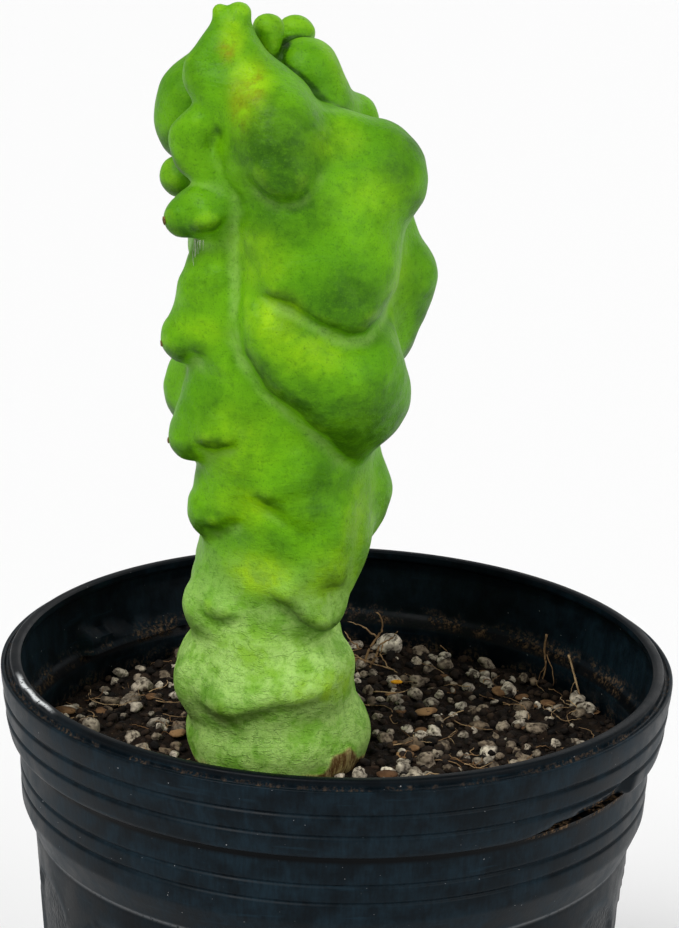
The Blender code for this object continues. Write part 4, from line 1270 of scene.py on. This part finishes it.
@dataclass
class Litter:
    """What lies on the mix and clings to the wall: fibres, rootlets, a pale stone and a yellow flake."""

    bed: Bed
    fibres: int = 190
    fibre_lengths: tuple[float, float] = (4, 15)
    fibre_radii: tuple[float, float] = (0.08, 0.2)
    fibre_reach: float = 73
    clear_of_wall: float = 74.5
    clear_of_stem: float = 24
    tuft_foot: tuple[float, float] = (8.0, 56.0)

    def strewn_fibres(self) -> Bundle:
        """Short fibres lying over the mix."""
        rng = np.random.default_rng(77)
        threads = Bundle("mix_fibres")
        foot = self.bed.stem.base / MM
        while len(threads.points) < self.fibres:
            reach, angle = self.fibre_reach * math.sqrt(rng.random()), rng.uniform(0, 2 * math.pi)
            x, y = reach * math.cos(angle), reach * math.sin(angle)
            heading, length = rng.uniform(0, 2 * math.pi), rng.uniform(*self.fibre_lengths)
            knots = []
            for share in (0, 0.35, 0.7, 1):
                u = x + length * (share - 0.5) * math.cos(heading + share)
                v = y + length * (share - 0.5) * math.sin(heading + share)
                knots.append((u, v, rng.uniform(0.6, 2.2)))
            outer = max(math.hypot(u, v) for u, v, _ in knots)
            inner = min(math.hypot(u - foot.x, v - foot.y) for u, v, _ in knots)
            if outer >= self.clear_of_wall or inner <= self.clear_of_stem:
                continue
            line = [(u * MM, v * MM, self.bed.height(u * MM, v * MM) + w * MM) for u, v, w in knots]
            thick = rng.uniform(*self.fibre_radii) * MM
            threads.add_thread(line, thick, rng.random(), len(threads.points), 0.5, 3, 4)
        return threads

    def tuft(self) -> Bundle:
        """The dry, branched rootlets that stand up behind the stem on the right."""
        x, y = self.tuft_foot
        ground = self.bed.height(x * MM, y * MM) / MM
        branches = (
            ((-1, 0, -1), (0.5, 1, 6), (3.5, 2, 11), (3.0, 1, 16), (1.5, 0, 17.5)),
            ((0, 0, -1), (2.5, -1, 3), (4.2, -2, 8), (7.5, -2, 10), (9.0, -3, 13)),
            ((-2, 1, 5.5), (-5, 1, 7.5), (-6.5, 2, 10)),
            ((2.5, 1.5, 9), (-1.5, 1, 12), (-5.5, 1.5, 13)),
            ((4.2, -1.5, 8), (3.4, -2, 5.5), (5.5, -3, 2.5), (9, -4, 0)),
            ((-8, 2, 3.5), (-3, 1, 3.0), (4, 0, 1.0), (12, -1, -1)),
            ((1, 1, 2), (-3, 0, 4), (-7.5, 0, 6)),
        )
        threads = Bundle("dry_rootlets")
        for index, branch in enumerate(branches):
            line = [((x + u) * MM, (y + v) * MM, (ground + w) * MM) for u, v, w in branch]
            thick = (0.42 if index < 2 else 0.28) * MM
            threads.add_thread(line, thick, 0.35 + 0.06 * index, 300 + index, 0.7, 6, 6)
        return threads

    def wall_roots(self) -> Bundle:
        """Two branched dry roots that cling to the pot's inside on the right, and a short one at the back."""
        runs = (
            ((132.7, 75.9, 13.5), (132.8, 75.8, 17.8), (132, 75.6, 21.8), (132.6, 75.4, 26.4),
             (131.9, 75, 29.5)),
            ((126.1, 75.9, 16.5), (123.9, 75.8, 21.2), (121.3, 75.4, 25.6), (119, 75.2, 28.2),
             (117.3, 74.6, 31)),
            ((132.2, 75.8, 19), (130.3, 75.6, 22), (129.5, 75.3, 25.4), (129.9, 75, 29)),
            ((132.4, 75.7, 22.5), (133.6, 75.5, 25), (133.9, 75.2, 28.5)),
            ((123.1, 75.8, 22.5), (124.2, 75.5, 25), (123.8, 75.2, 29)),
            ((158, 75.7, 24.5), (156, 75.5, 26), (157, 75.2, 28.5)),
        )
        threads = Bundle("wall_roots")
        for index, run in enumerate(runs):
            line = []
            for azimuth, radius, depth in run:
                angle = math.radians(azimuth)
                line.append((radius * MM * math.sin(angle), -radius * MM * math.cos(angle),
                             self.bed.pot.height - depth * MM))
            thick = (0.36 if index < 2 else 0.18) * MM
            threads.add_thread(line, thick, 0.35 + 0.5 * (index in (1, 4)), 500 + index, 0.25, 6, 5)
        return threads

    def lump(self, name: str, place: tuple[float, float, float], size: tuple[float, float, float], seed: int,
             finish: bpy.types.Material, tone: float) -> bpy.types.Object:
        """One loose lump on the mix.

        Args:
            name: Its name.
            place: Its place in millimetres, with the height of its middle over the mix.
            size: Its half-sizes in millimetres.
            seed: Which shape.
            finish: Its material.
            tone: Its colour, from 0 to 1.

        Returns:
            The piece.
        """
        ball, faces = unit_ball(4)
        shape = ball * (1 + 0.14 * waves(ball, 1.9, seed, 5) + 0.04 * waves(ball, 0.5, seed + 1, 9))[:, None]
        x, y, lift = (value * MM for value in place)
        points = shape * np.array(size) * MM + (x, y, self.bed.height(x, y) + lift)
        return new_piece(name, points, faces, finish, {"tone": np.full(len(points), tone)})


@dataclass
class Studio:
    """The camera at the photograph's angle, soft lights and a plain pale floor."""

    rim_height: float = 165 * MM
    distance: float = 636.14 * MM
    elevation: float = 20.77
    roll: float = -1.77
    yaw: float = 0.08
    pitch: float = 4.12
    focal_pixels: float = 2570.5
    frame_height: int = 928
    sensor: float = 36.0
    sky: float = 0.46
    LIGHTS = (("key", (-0.5, -0.65, 1.0), 24, 1.9), ("fill", (0.9, -0.8, 0.6), 40, 1.0),
              ("back", (0.6, 1.0, 0.6), 50, 0.5))

    def camera(self) -> bpy.types.Object:
        """Places the camera that the rim and bands of the photographed pot give."""
        rise = math.radians(self.elevation)
        place = Vector((0, -self.distance * math.cos(rise), self.distance * math.sin(rise)))
        forward = -place.normalized()
        right = Vector((1, 0, 0))
        up = right.cross(forward)
        forward, right = (Matrix.Rotation(math.radians(self.yaw), 3, up) @ v for v in (forward, right))
        forward, up = (Matrix.Rotation(math.radians(self.pitch), 3, right) @ v for v in (forward, up))
        right, up = (Matrix.Rotation(math.radians(self.roll), 3, forward) @ v for v in (right, up))
        data = bpy.data.cameras.new("camera")
        data.lens = self.focal_pixels * self.sensor / self.frame_height
        data.sensor_width = self.sensor
        data.clip_start = 0.01
        seen = put("camera", data)
        turn = Matrix((right, up, -forward)).transposed().to_4x4()
        seen.matrix_world = Matrix.Translation(place + Vector((0, 0, self.rim_height))) @ turn
        bpy.context.scene.camera = seen
        return seen

    def light(self, name: str, side: tuple[float, float, float], spread: float, power: float) -> None:
        """A wide, even light from one side, as softly spread as a studio window."""
        data = bpy.data.lights.new(name, "SUN")
        data.angle = math.radians(spread)
        data.energy = power
        put(name, data).rotation_euler = Vector(side).to_track_quat("Z", "Y").to_euler()

    def floor(self) -> None:
        """A wide pale floor."""
        bm = bmesh.new()
        bmesh.ops.create_grid(bm, x_segments=1, y_segments=1, size=12)
        mesh = bpy.data.meshes.new("floor")
        bm.to_mesh(mesh)
        bm.free()
        mesh.materials.append(FloorFinish().make())
        ground = put("floor", mesh)

    def build(self) -> None:
        """Sets up everything that isn't the object."""
        self.camera()
        self.floor()
        for row in self.LIGHTS:
            self.light(*row)
        world = bpy.data.worlds.new("soft_daylight")
        world.use_nodes = True
        background = world.node_tree.nodes["Background"]
        background.inputs["Color"].default_value = (1, 1, 1, 1)
        background.inputs["Strength"].default_value = self.sky
        bpy.context.scene.world = world
        bpy.context.scene.view_settings.view_transform = "Standard"


def main() -> None:
    """Builds each sub-assembly in order and reports its pieces."""
    logging.basicConfig(level=logging.INFO, format="%(message)s")
    Studio().build()
    stem, pot = Stem(), Pot()
    bed = Bed(stem, pot)
    skin = stem.build(SkinFinish().make())
    LOG.info("stem: %s, %d faces", skin.name, len(skin.data.polygons))
    growths = Growths(skin, stem)
    growths.areoles(AREOLE.make())
    growths.hairs(HAIR.make())
    shell = pot.build(PlasticFinish().make())
    LOG.info("pot: %s, %d faces", shell.name, len(shell.data.polygons))
    bed.build(MixFinish().make())
    strewn = Strewn(bed)
    for rule, finish in (GRAINS, PUMICE), (CHIPS, BARK), (CRUMBS, CRUMB):
        strewn.build(rule, finish.make())
    litter = Litter(bed)
    root = ROOT.make()
    litter.strewn_fibres().build(root)
    litter.tuft().build(root)
    litter.wall_roots().build(root)
    litter.lump("pale_stone", (14.5, 67.0, 2.6), (3.6, 3.0, 3.2), 61, PUMICE.make(), 1.0)
    litter.lump("yellow_flake", (16.0, 43.0, 2.4), (1.5, 0.9, 0.5), 62, LEAF.make(), 0.6)


if __name__ == "__main__":
    main()
